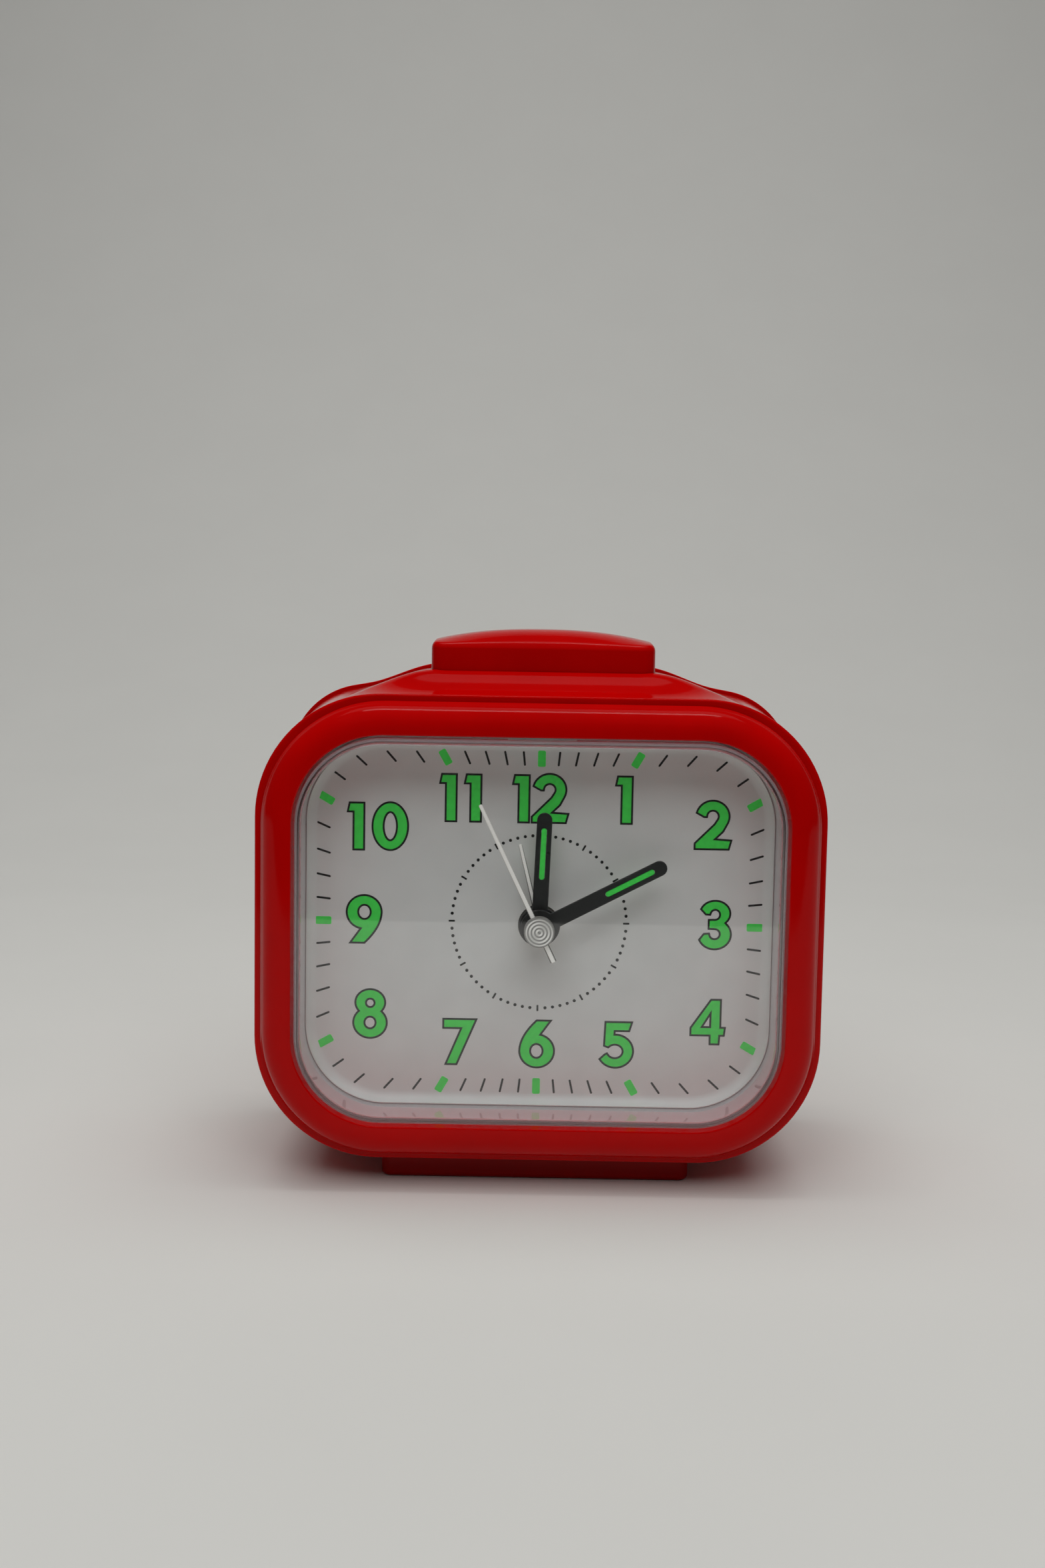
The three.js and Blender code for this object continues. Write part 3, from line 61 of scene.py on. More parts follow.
def middles(nodes):
    """The middle of each node's box, as (x, z)."""
    boxes = {node: mm_box(node) for node in nodes}
    return {node: ((low.x + high.x) / 2, (low.z + high.z) / 2) for node, (low, high) in boxes.items()}


BEZEL_LOW, BEZEL_HIGH = mm_box("front_bezel")
BODY_LOW, BODY_HIGH = mm_box("case_body")
LENS_LOW, LENS_HIGH = mm_box("lens")
DOOR_LOW, DOOR_HIGH = mm_box("battery_door")
GONG_LOW, GONG_HIGH = mm_box("gong")
GONG_AT = middles(["gong"])["gong"]
KNOBS = middles(["time_set_knob", "alarm_set_knob"])
SCREWS = middles([f"case_screw_{row}_{side}" for row in ("upper", "lower") for side in ("left", "right")])
ARBOR = next(Vector(j["pos_m"]) for j in frame["joints"] if j["name"] == "second_hand_turn") / MM
SLOTS = {part["node"]: part["material_slot"] for part in frame["record"]["subparts"]}

CORNER_STEPS = 22                    # segments of a large corner
ROUND_STEPS = 4                      # segments of a rounded edge
FLANGE_OFFSET = 8.05                 # rear flange of the bezel, outside the aperture
FLANGE_SQUARING = 1                  # how much tighter its corners are than concentric ones
TIER_OFFSET = 6.65                   # front tier of the bezel, outside the aperture
APERTURE_RADIUS = 18
CASE_Z = (BEZEL_LOW.z + BEZEL_HIGH.z) / 2
APERTURE_X = BEZEL_HIGH.x - FLANGE_OFFSET
APERTURE_Z = BEZEL_HIGH.z - CASE_Z - FLANGE_OFFSET
BEZEL_FRONT_Y = BEZEL_LOW.y
BEZEL_BACK_Y = BODY_LOW.y - 0.3

WALL = 2
BODY_X = BODY_HIGH.x
BODY_Z = CASE_Z - 6
BODY_RADIUS = (24.6, 17)             # corner radius at the front and at the back
HUMP = {"height": 5.2, "flat": 22, "foot": 43, "crest_y": -12.6, "round": 1.3}
FOOT = {"half": 31.8, "front": -21, "back": 23, "radius": 2, "top": 8, "edge": 1.1}
BUTTON = {"half": 23.3, "depth": 10.5, "y": -1.5, "radius": 3, "rim": 110.1, "skirt": 99.5, "crown": 3.4}
CROWN_POWER = 2.4
CROWN_FALL = 0.74                    # how much of the crown is lost at the ends of the key
COVER_Y = BODY_HIGH.y + 0.3
COVER_LIP = 0.8
COVER_BACK_Y = 27.5
TRAY = {"half": 28.1, "bottom": 11.9, "top": 43.1, "floor": 10.9, "wall": 1.4}
SOUND = {"radius": 16, "pitch": 4.4}     # slots in the cover, behind the gong
SWITCH = {"x": 36, "z": 64, "half": 5}
DOOR_LATCH = 3.4                     # how far the latch stands above the door's plate
KNOB = {"radius": 6.6, "flutes": 18, "flute_depth": 0.32}
DIAL_Y = -17
HAND_TURN = {"alarm": -14, "hour": 2, "minute": 62.4, "second": -25.8}   # degrees past twelve
COVE_RADIUS = 2


# ---- outlines, as lists of (x, z)
def arc(middle, radii, start, stop, steps=12):
    """Points of an ellipse from one angle to another, in degrees anticlockwise from +x."""
    points = []
    for i in range(steps + 1):
        angle = radians(start + (stop - start) * i / steps)
        points.append((middle[0] + radii[0] * cos(angle), middle[1] + radii[1] * sin(angle)))
    return points


def circle(radius, steps=48, middle=(0, 0)):
    return arc(middle, (radius, radius), 0, 360 * (steps - 1) / steps, steps - 1)


def rounded_rectangle(half_width, half_height, radius, steps=CORNER_STEPS, middle=(0, 0)):
    """Anticlockwise from the lower right corner."""
    points = []
    for side_x, side_z, start in ((1, -1, -90), (1, 1, 0), (-1, 1, 90), (-1, -1, 180)):
        corner = (middle[0] + side_x * (half_width - radius), middle[1] + side_z * (half_height - radius))
        points += arc(corner, (radius, radius), start, start + 90, steps)
    return points


def signed_area(points):
    pairs = zip(points, points[1:] + points[:1])
    return sum(a[0] * b[1] - b[0] * a[1] for a, b in pairs) / 2


def grown(points, offset):
    """A closed anticlockwise outline moved outwards, with mitred corners."""
    moved = []
    for i, here in enumerate(points):
        before, after = points[i - 1], points[(i + 1) % len(points)]
        normals = []
        for a, b in ((before, here), (here, after)):
            run = Vector((b[0] - a[0], b[1] - a[1])).normalized()
            normals.append(Vector((run.y, -run.x)))
        mitre = (normals[0] + normals[1]) / (1 + normals[0].dot(normals[1]))
        moved.append((here[0] + mitre.x * offset, here[1] + mitre.y * offset))
    return moved


def upright(points, y):
    """An outline in X and Z, set at a depth."""
    return [(p[0], y, p[1]) for p in points]


def level(points, z):
    """A plan outline in X and Y, set at a height."""
    return [(p[0], p[1], z) for p in points]


def aperture_ring(offset, y):
    along = min(max((offset - TIER_OFFSET) / (FLANGE_OFFSET - TIER_OFFSET), 0), 1)
    radius = APERTURE_RADIUS + offset - FLANGE_SQUARING * along
    outline = rounded_rectangle(APERTURE_X + offset, APERTURE_Z + offset, radius, middle=(0, CASE_Z))
    return upright(outline, y)


def fillet(corner, before, after, radius):
    """Points that round a profile's corner between its two neighbours."""
    corner = Vector(corner)
    sides = [(Vector(p) - corner).normalized() for p in (before, after)]
    half = sides[0].angle(sides[1]) / 2
    reach = radius / tan(half)
    middle = corner + (sides[0] + sides[1]).normalized() * (radius / sin(half))
    start = corner + sides[0] * reach - middle
    turn = start.angle_signed(corner + sides[1] * reach - middle)
    points = []
    for i in range(ROUND_STEPS + 1):
        spoke = start.copy()
        spoke.rotate(Matrix.Rotation(-turn * i / ROUND_STEPS, 2))
        points.append(tuple(middle + spoke))
    return points


def rounded_profile(corners):
    """An open profile of (place, place, radius) corners, with each corner of some radius filleted."""
    points = []
    for i, (u, v, radius) in enumerate(corners):
        if radius:
            points += fillet((u, v), corners[i - 1][:2], corners[i + 1][:2], radius)
        else:
            points.append((u, v))
    return points


def rounded_ends(low, high, low_round, high_round):
    """(inset, place) pairs of a wall from low to high whose two ends are rounded."""
    start = arc((low_round, low + low_round), (low_round, -low_round), 90, 180, ROUND_STEPS)
    return start + arc((high_round, high - high_round), (-high_round, high_round), 0, 90, ROUND_STEPS)


# ---- solids
def new_object(name, data):
    made = bpy.data.objects.new(name, data)
    bpy.context.scene.collection.objects.link(made)
    return made


def new_piece(name, points, faces):
    mesh = bpy.data.meshes.new(name)
    mesh.from_pydata([Vector(p) * MM for p in points], [], faces)
    shape = bmesh.new()
    shape.from_mesh(mesh)
    bmesh.ops.remove_doubles(shape, verts=shape.verts, dist=1e-7)
    bmesh.ops.recalc_face_normals(shape, faces=shape.faces)
    shape.to_mesh(mesh)
    shape.free()
    return new_object(name, mesh)


def aperture_loft(name, profile, closed=False):
    """A moulding that runs round the aperture, from (offset, y) pairs."""
    return loft(name, [aperture_ring(*p) for p in profile], closed)


def loft(name, rings, closed=False):
    """A skin over rings of equal counts, capped at both ends unless it runs back to its first ring."""
    count = len(rings[0])
    faces = []
    for i in range(len(rings) if closed else len(rings) - 1):
        low, high = i * count, (i + 1) % len(rings) * count
        for j in range(count):
            k = (j + 1) % count
            faces.append((low + j, low + k, high + k, high + j))
    if not closed:
        faces += [tuple(range(count)), tuple(range((len(rings) - 1) * count, len(rings) * count))]
    return new_piece(name, [p for ring in rings for p in ring], faces)


def slab(name, outline, y, rounds=(0.2, 0.2), placed=upright):
    """An outline swept along Y, or along Z when placed level, with rounded edges at both ends."""
    return loft(name, [placed(grown(outline, -inset), place) for inset, place in rounded_ends(*y, *rounds)])


def pillar(name, plan, z, rounds):
    """A plan outline raised along Z, with rounded edges at both ends."""
    return slab(name, plan, z, rounds, level)


def block(name, x, y, z, rounding):
    middle = ((x[0] + x[1]) / 2, (z[0] + z[1]) / 2)
    radius = max(rounding, 0.05) * 1.5
    outline = rounded_rectangle((x[1] - x[0]) / 2, (z[1] - z[0]) / 2, radius, 4, middle)
    return slab(name, outline, y, (rounding, rounding))


def turned(name, profile, x, z, steps):
    """A body of revolution about Y from (radius, y) pairs that start and end on the axis."""
    rings = [upright(circle(max(radius, 0.01), steps, (x, z)), y) for radius, y in profile]
    return loft(name, rings)


def mouth(name, outline, floor_y, surface_y, flare=0.4, floor_round=0.3):
    """A cutter for a recess: filleted at its floor and flared where it breaks the surface."""
    rings = arc((-floor_round, floor_y + floor_round), (floor_round, -floor_round), 90, 0, 3)
    rings += arc((flare, surface_y - flare), (-flare, flare), 0, 90, ROUND_STEPS)
    rings.append((flare + 0.01, surface_y + 1))
    return loft(name, [upright(grown(outline, offset), y) for offset, y in rings])


def carve(piece, tools, operation="DIFFERENCE"):
    """Cuts or joins solids, and keeps the result as the piece's own mesh."""
    for tool in tools:
        step = piece.modifiers.new("carve", "BOOLEAN")
        step.operation = operation
        step.solver = "EXACT"
        step.object = tool
    bpy.context.view_layer.update()
    graph = bpy.context.evaluated_depsgraph_get()
    result = bpy.data.meshes.new_from_object(piece.evaluated_get(graph))
    piece.modifiers.clear()
    piece.data = result
    for tool in tools:
        bpy.data.objects.remove(tool)
    return piece


def join(piece, others):
    """Puts separate closed solids in one piece, as parts of one moulding."""
    shape = bmesh.new()
    for part in [piece, *others]:
        shape.from_mesh(part.data)
    shape.to_mesh(piece.data)
    shape.free()
    for part in others:
        bpy.data.objects.remove(part)
    return piece


def finish(piece, node=None, body="root", slot=None, sharp=32, shader=None):
    """Smooths a piece, gives it its material, and sets what it rides on and which node it stands for."""
    mesh = piece.data
    slot = slot or SLOTS[node]
    mesh.materials.clear()
    mesh.materials.append(shader or FINISH[slot])
    mesh.polygons.foreach_set("material_index", [0] * len(mesh.polygons))
    mesh.polygons.foreach_set("use_smooth", [True] * len(mesh.polygons))
    mesh.set_sharp_from_angle(angle=radians(sharp))
    weighted = piece.modifiers.new("weighted", "WEIGHTED_NORMAL")
    weighted.keep_sharp = True
    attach(piece, body)
    if node:
        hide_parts(node)
    return piece


def turn_about_arbor(piece, degrees):
    """Turns a piece clockwise, as seen from the front, about the hands' axis."""
    middle = Vector((ARBOR.x, 0, ARBOR.z)) * MM
    piece.data.transform(Matrix.Translation(middle) @ Matrix.Rotation(radians(degrees), 4, "Y"))
    return piece


# ---- materials
class Surface:
    """One procedural material, built round a Principled shader."""

    def __init__(self, color, roughness, **values):
        self.material = bpy.data.materials.new("surface")
        self.material.use_nodes = True
        self.tree = self.material.node_tree
        self.shader = self.tree.nodes["Principled BSDF"]
        self.shader.inputs["Base Color"].default_value = (*color, 1)
        self.shader.inputs["Roughness"].default_value = roughness
        for key, value in values.items():
            socket = key.replace("_", " ").title().replace("Ior", "IOR")
            self.shader.inputs[socket].default_value = value
        self.color = color
        self.roughness = roughness
        self.place = self.node("TexCoord").outputs["Object"]

    def node(self, kind, inputs=None, **settings):
        node = self.tree.nodes.new("ShaderNode" + kind)
        for key, value in settings.items():
            setattr(node, key, value)
        for key, value in (inputs or {}).items():
            socket = node.inputs[key]
            if isinstance(value, bpy.types.NodeSocket):
                self.tree.links.new(value, socket)
            else:
                socket.default_value = (*value, 1) if socket.type == "RGBA" else value
        return node

    def maths(self, operation, first, second=0.0):
        return self.node("Math", {0: first, 1: second}, operation=operation).outputs[0]

    def vector_maths(self, operation, first, second=(0, 0, 0)):
        return self.node("VectorMath", {0: first, 1: second}, operation=operation).outputs

    def from_arbor(self):
        """Places taken from the hands' axis."""
        return self.vector_maths("SUBTRACT", self.place, ARBOR * MM)["Vector"]

    def link(self, output, *sockets):
        for socket in sockets:
            self.tree.links.new(output, self.shader.inputs[socket])

    def noise(self, size, detail=3, stretch=(1, 1, 1)):
        """Noise whose grains are about size millimetres across."""
        spread = self.node("Mapping", {"Vector": self.place, "Scale": stretch})
        inputs = {"Vector": spread.outputs["Vector"], "Scale": 1 / (size * MM), "Detail": detail}
        return self.node("TexNoise", inputs).outputs["Fac"]

    def remap(self, value, low, high, start=0.3, stop=0.7):
        inputs = {"Value": value, "From Min": start, "From Max": stop, "To Min": low, "To Max": high}
        return self.node("MapRange", inputs).outputs["Result"]

    def blend(self, factor, first, second):
        inputs = {"Factor": factor, "A": first, "B": second}
        return self.node("Mix", inputs, data_type="RGBA").outputs["Result"]

    def mottle(self, size, dark):
        """Faint cloudy variation of the base colour."""
        darker = tuple(dark * c for c in self.color)
        shade = self.blend(self.remap(self.noise(size), 0, 1), darker, self.color)
        self.link(shade, "Base Color")
        return shade

    def gloss(self, size, spread, stretch=(1, 1, 1)):
        """Roughness that wanders by a small spread."""
        low, high = self.roughness - spread, self.roughness + spread
        self.link(self.remap(self.noise(size, stretch=stretch), low, high), "Roughness")

    def relief(self, height, depth):
        """Bump of a depth in millimetres."""
        bump = self.node("Bump", {"Height": height, "Distance": depth * MM, "Strength": 1})
        self.link(bump.outputs["Normal"], "Normal")

    def specks(self, cell, radius, color):
        """Sparse dust specks over whatever feeds the base colour."""
        inputs = {"Vector": self.place, "Scale": 1 / (cell * MM)}
        distance = self.node("TexVoronoi", inputs).outputs["Distance"]
        mask = self.remap(distance, 1, 0, radius / cell * 0.6, radius / cell)
        below = self.shader.inputs["Base Color"].links[0].from_socket
        self.link(self.blend(mask, below, color), "Base Color")


def moulded(color, roughness, peel, specks=False, ior=1.5):
    """Injection-moulded plastic with a faint uneven skin."""
    surface = Surface(color, roughness, ior=ior)
    surface.mottle(9, 0.93)
    surface.gloss(3, roughness * 0.22)
    surface.relief(surface.noise(2.2, 2), peel)
    if specks:
        surface.specks(11, 0.16, (0.75, 0.7, 0.68))
    return surface.material


def satin(color, roughness, grain):
    """Plastic with a fine spark-eroded grain."""
    surface = Surface(color, roughness, ior=1.48)
    surface.mottle(6, 0.95)
    surface.relief(surface.noise(grain, 2), 0.008)
    return surface.material


def plated(color, roughness, stretch=(1, 1, 1)):
    """Metal with drawn lines along one direction."""
    surface = Surface(color, roughness, metallic=1.0)
    surface.mottle(4, 0.88)
    surface.gloss(0.35, roughness * 0.35, stretch)
    surface.relief(surface.noise(0.25, 3, stretch), 0.003)
    return surface.material


def clear_plastic(color, clearness, ripple):
    """Clear polystyrene that lets the light through to the dial."""
    surface = Surface(color, 0.02, ior=1.5, transmission_weight=clearness)
    surface.relief(surface.noise(14, 1), ripple)
    path = surface.node("LightPath").outputs
    through = surface.node("BsdfTransparent", {"Color": (0.985, 0.985, 0.985)})
    passing = surface.maths("MAXIMUM", path["Is Shadow Ray"], path["Is Diffuse Ray"])
    shaders = {0: passing, 1: surface.shader.outputs["BSDF"], 2: through.outputs["BSDF"]}
    both = surface.node("MixShader", shaders)
    output = surface.tree.nodes["Material Output"]
    surface.tree.links.new(both.outputs["Shader"], output.inputs["Surface"])
    return surface.material


def printed_ink(color):
    """Screen-printed ink with a slightly grainy cover."""
    surface = Surface(color, 0.5)
    surface.mottle(0.5, 0.86)
    surface.relief(surface.noise(0.18, 2), 0.004)
    return surface.material


def luminous_paint(color):
    """Luminous paint: a granular green that glows a little of its own."""
    surface = Surface(color, 0.55, emission_strength=0.14)
    shade = surface.mottle(0.8, 0.84)
    surface.link(shade, "Emission Color")
    surface.relief(surface.noise(0.22, 3), 0.02)
    return surface.material


def turned_metal(color):
    """Metal faced on a lathe: fine rings about the hands' axis, crossed by a painted highlight of brighter rays in
    a fan, with a painted dark reflection round its rim and a faint painted glow.
    """
    ring_pitch, rim_start, rim_stop = 0.7, 2.62, 2.8
    # emission gives the cap a faint painted glow
    surface = Surface(color, 0.3, emission_strength=0.06)
    moved = surface.from_arbor()
    flat = surface.vector_maths("MULTIPLY", moved, (1, 0, 1))["Vector"]
    away = surface.vector_maths("LENGTH", flat)["Value"]
    wave = surface.maths("SINE", surface.maths("MULTIPLY", away, 2 * pi / (ring_pitch * MM)))
    apart = surface.node("SeparateXYZ", {"Vector": moved}).outputs
    angle = surface.maths("ARCTAN2", apart["Z"], apart["X"])
    # painted highlight: a fan of brighter rays, standing in for the light that the turned rings mirror
    painted_fan_highlight = surface.maths("SINE", surface.maths("MULTIPLY", angle, 2))
    ringed = surface.blend(surface.remap(wave, 0, 1, -0.6, 0.9), color, (0.16, 0.16, 0.15))
    shade = surface.blend(surface.remap(painted_fan_highlight, 0, 0.55, -0.8, 0.9), ringed, (0.42, 0.42, 0.4))
    # painted reflection: the colour darkens round the cap's rounded rim
    rim = surface.remap(away, 0, 0.85, rim_start * MM, rim_stop * MM)
    surface.link(surface.blend(rim, shade, (0.24, 0.24, 0.225)), "Base Color", "Emission Color")
    surface.relief(wave, 0.003)
    return surface.material


def polished_needle(turn, half):
    """A bright hand with a painted glow, whose rounded edges are painted dark as a painted reflection of the dark
    room.
    """
    # emission gives the hand a painted glow
    surface = Surface((0.97, 0.97, 0.93), 0.25, emission_strength=0.1)
    across = Vector((cos(radians(turn)), 0, -sin(radians(turn))))
    reach = surface.vector_maths("DOT_PRODUCT", surface.from_arbor(), across)["Value"]
    # painted reflection: the colour darkens towards the hand's edges, and feeds the emission too
    edge = surface.remap(surface.maths("ABSOLUTE", reach), 0, 1, half * 0.55 * MM, half * 0.85 * MM)
    surface.link(surface.blend(edge, surface.color, (0.06, 0.06, 0.055)), "Base Color", "Emission Color")
    surface.gloss(0.35, 0.06)
    return surface.material


def cell_wrap():
    """Printed plastic sleeve of a dry cell: a dark barrel with a copper-coloured end band."""
    band_start, band_stop = 12.8, 13
    surface = Surface((0.03, 0.035, 0.04), 0.28, metallic=0.35)
    along = surface.node("SeparateXYZ", {"Vector": surface.place}).outputs["X"]
    band = surface.remap(along, 0, 1, band_start * MM, band_stop * MM)
    surface.link(surface.blend(band, surface.color, (0.5, 0.24, 0.1)), "Base Color")
    surface.gloss(2, 0.06)
    return surface.material


def make_finishes():
    """The materials, by name: one for each slot, and some for one face or piece."""
    red = (0.57, 0.0006, 0.0005)
    finishes = {
        "case_red": moulded(red, 0.09, 0.0025, specks=True, ior=1.2),
        # painted shade: the foot is the same red plastic, given a darker colour for the shadow under the bezel's
        # overhang
        "foot_painted_shade": moulded((0.3, 0.0006, 0.0005), 0.16, 0.004, ior=1.2),
        "clear_lens": clear_plastic((0.99, 0.99, 0.99), 1.0, 0.008),
        # painted reflection: a lavender, less clear plastic on the walls stands in for the light they mirror
        "lens_wall": clear_plastic((0.93, 0.92, 0.97), 0.78, 0.001),
        "dial_white": satin((0.83, 0.87, 0.86), 0.42, 0.5),
        "dial_ink": printed_ink((0.006, 0.007, 0.007)),
        "black_plastic": moulded((0.016, 0.018, 0.018), 0.34, 0.004),
        "luminous_green": luminous_paint((0.055, 0.72, 0.085)),
        "silver_hand": plated((0.93, 0.93, 0.89), 0.34, (1, 1, 0.05)),
        "alarm_needle": polished_needle(HAND_TURN["alarm"], 0.44),
        "second_needle": polished_needle(HAND_TURN["second"], 0.6),
        "turned_cap": turned_metal((0.98, 0.98, 0.95)),
        "brass": plated((0.72, 0.5, 0.2), 0.3, (1, 0.1, 1)),
        "steel": plated((0.55, 0.56, 0.58), 0.3, (1, 1, 0.1)),
        "nickel": plated((0.7, 0.69, 0.66), 0.22, (0.1, 1, 1)),
        "copper_wire": plated((0.75, 0.32, 0.14), 0.35, (8, 0.2, 0.2)),
        "gear_white": satin((0.82, 0.8, 0.74), 0.42, 0.3),
        "movement_black": satin((0.022, 0.023, 0.026), 0.5, 0.35),
        "circuit_green": moulded((0.02, 0.16, 0.06), 0.4, 0.01),
        "cell_jacket": cell_wrap(),
        "lead_red": moulded((0.5, 0.02, 0.02), 0.42, 0.01),
        "lead_black": moulded((0.02, 0.02, 0.02), 0.42, 0.01),
        "lamp_clear": moulded((0.85, 0.83, 0.7), 0.15, 0.003),
    }
    for name, material in finishes.items():
        material.name = name
    return finishes


FINISH = make_finishes()


# ---- case front
def make_bezel():
    """A picture frame: inner collar, domed front tier, shadow groove and rear flange."""
    collar, collar_y = 1.2, -18.95
    dome = {"across": 5.36, "deep": 5.2, "turn": 72}
    groove_x, groove_front, groove_back = TIER_OFFSET - 0.5, -26.2, -25.8
    inside = 5.25
    profile = rounded_profile([(collar, collar_y, 0), (0, collar_y, 0.15), (0, BEZEL_FRONT_Y, 0.3),
                               (collar, BEZEL_FRONT_Y, 0)])
    dome_middle = (collar, BEZEL_FRONT_Y + dome["deep"])
    profile += arc(dome_middle, (dome["across"], -dome["deep"]), 90, 90 - dome["turn"], 14)[1:]
    shoulder_y = profile[-1][1] + 0.62
    outer = rounded_profile([
        (*profile[-1], 0), (TIER_OFFSET, shoulder_y, 0.35), (TIER_OFFSET, groove_front, 0.12),
        (groove_x, groove_front, 0), (groove_x, groove_back, 0), (FLANGE_OFFSET, groove_back, 0.55),
        (FLANGE_OFFSET, BEZEL_BACK_Y, 0.15), (inside, BEZEL_BACK_Y, 0)])
    back = [(inside, -18.9), (2.25, -18.9), (2.25, -19.9), (3.95, -19.9), (3.95, -24.9), (1.8, -28.6),
            (collar, -28.6)]
    bezel = aperture_loft("bezel_moulding", [*profile[1:], *outer[1:], *back, profile[0]], closed=True)
    top = CASE_Z + APERTURE_Z
    notch = block("lamp_notch", (-7, 7), (-24.5, -18), (top - 0.4, top + 3.6), 0.05)
    finish(carve(bezel, [notch]), "front_bezel")


def make_lens():
    """A clear box moulding: flat pane, straight walls and a flange that the dial holds."""
    wall_outside, wall_inside, rim, middle = -0.5, -1.5, 3.2, -9
    front, back = LENS_LOW.y, LENS_HIGH.y
    pane_back, flange = front + 1.2, back - 1.3
    profile = rounded_profile([
        (middle, front, 0), (wall_outside, front, 1.1), (wall_outside, flange, 0.35), (rim, flange, 0.2),
        (rim, back, 0.2), (wall_inside, back, 0.25), (wall_inside, pane_back, 0.5), (middle, pane_back, 0)])
    lens = aperture_loft("lens_moulding", profile)
    finish(lens, "lens", sharp=40)
    # The walls and rounded edges take the lavender wall finish, a painted reflection; faces square to the front or
    # back keep the clear one
    lens.data.materials.append(FINISH["lens_wall"])
    for face in lens.data.polygons:
        face.material_index = 0 if abs(face.normal.y) > 0.98 else 1


# ---- dial
def merge_flat(add, cut=()):
    """The union of flat outlines, less other outlines, as points and triangles."""
    points, faces = [], []
    for outline in [*add, *cut]:
        ordered = outline if signed_area(outline) > 0 else outline[::-1]
        faces.append(list(range(len(points), len(points) + len(ordered))))
        points += [Vector(p) for p in ordered]
    merged = geometry.delaunay_2d_cdt(points, [], faces, 1, 1e-4, True)
    kept = []
    for triangle, origins in zip(merged[2], merged[5]):
        if origins and max(origins) < len(add):
            kept.append(tuple(triangle))
    return [tuple(p) for p in merged[0]], kept


def open_edges(triangles):
    """Directed edges that only one triangle has."""
    edges = {(t[i], t[(i + 1) % 3]) for t in triangles for i in range(3)}
    return [e for e in edges if (e[1], e[0]) not in edges]


def outlined(flat, margin):
    """A flat shape grown on every side by a margin, with mitred corners."""
    points, triangles = flat
    shapes = [[points[i] for i in t] for t in triangles]
    after = {}
    normals = {}
    for a, b in sorted(open_edges(triangles)):
        run = (Vector(points[b]) - Vector(points[a])).normalized()
        normals[a, b] = Vector((run.y, -run.x))
        after[a] = b
    for (a, b), normal in normals.items():
        start, stop = Vector(points[a]), Vector(points[b])
        shapes.append([start, stop, stop + normal * margin, start + normal * margin])
        following = normals.get((b, after.get(b)))
        if following is None or normal.cross(following) < 1e-4 or normal.dot(following) < -0.6:
            continue
        mitre = (normal + following) * (margin / (1 + normal.dot(following)))
        shapes.append([stop, stop + following * margin, stop + mitre, stop + normal * margin])
    return merge_flat([[tuple(p) for p in s] for s in shapes])


def digit_six():
    """A round bowl with a stem that curves up from its left side."""
    bowl = circle(1, 40)
    outer = [(3.41 + 3.41 * x, 3.3 + 3.3 * z) for x, z in bowl]
    counter = [(3.35 + 1.5 * x, 3.3 + 1.68 * z) for x, z in bowl]
    curve = []
    for i in range(9):
        t = i / 8
        start, bend, stop = (1 - t) ** 2, 2 * t * (1 - t), t * t
        curve.append((bend * 0.05 + stop * 3.4, start * 3.3 + bend * 6.3 + stop * 9.54))
    return [outer, [*curve, (5.85, 9.54), (3.75, 6.6), (3.4, 4.0)]], [counter]


def turned_over(outlines, width, height):
    return [[(width - x, height - z) for x, z in outline] for outline in outlines]


def make_digits():
    """Each digit as outlines to add and outlines to cut, from its lower left corner."""
    two = [(0, 0), (6.65, 0), (7.05, 1.5), (3.45, 1.7), (5.4, 3.6),
           *arc((3.4, 6.6), (3.2, 3.05), -29, 165, 22), (1.65, 6.65),
           *arc((3.4, 6.6), (1.4, 1.4), 178, -40, 16), (3.95, 4.85), (0, 0.9)]
    three = [*arc((3.2, 2.89), (3.18, 2.9), -156, 50, 22), *arc((3.25, 7.27), (2.9, 2.45), -50, 159, 20),
             (1.4, 7.25), *arc((3.25, 7.0), (1.2, 1.26), 170, -90, 16), (2.15, 5.72), (2.15, 4.25),
             *arc((3.2, 2.96), (1.3, 1.26), 90, -175, 16), (1.1, 2.78)]
    four = [(4.02, 8.98), (5.75, 8.98), (5.75, 3.1), (6.7, 3.1), (6.55, 1.84), (5.6, 1.84), (5.5, 0),
            (4.03, 0), (4.0, 1.84), (0, 1.84), (0, 3.15)]
    five = [(1.15, 9.3), (6.2, 9.3), (5.75, 7.83), (2.7, 7.83), (2.65, 6.62),
            *arc((3.1, 3.35), (3.5, 3.3), 96, -148, 26), (1.1, 2.5),
            *arc((3.0, 3.3), (1.85, 1.65), -155, 140, 20), (0.95, 4.6)]
    six = digit_six()
    lower, middle = (3.32, 3.05), (3.46, 4.74)
    return [
        ([arc(middle, (3.46, 4.74), 0, 352.5, 47)], [arc(middle, (1.58, 3.13), 0, 350, 35)]),
        ([[(0, 0), (1.8, 0), (1.8, 9.3), (-0.85, 9.3), (-1.15, 7.85), (0, 7.85)]], []),
        ([two], []),
        ([three], []),
        ([four], [[(4.1, 7.08), (1.75, 3.2), (4.05, 3.2)]]),
        ([five], []),
        six,
        ([[(0, 9.15), (6.35, 9.15), (2.5, 0), (0.66, 0), (3.85, 7.65), (0, 7.65)]], []),
        ([arc((3.34, 7.3), (2.89, 2.57), 0, 351, 39), arc(lower, (3.28, 3.05), 0, 351, 39)],
         [arc((3.34, 7.2), (1.1, 1.1), 0, 345, 23), arc(lower, (1.37, 1.45), 0, 345, 23)]),
        [turned_over(group, 6.82, 9.54) for group in six],
    ]


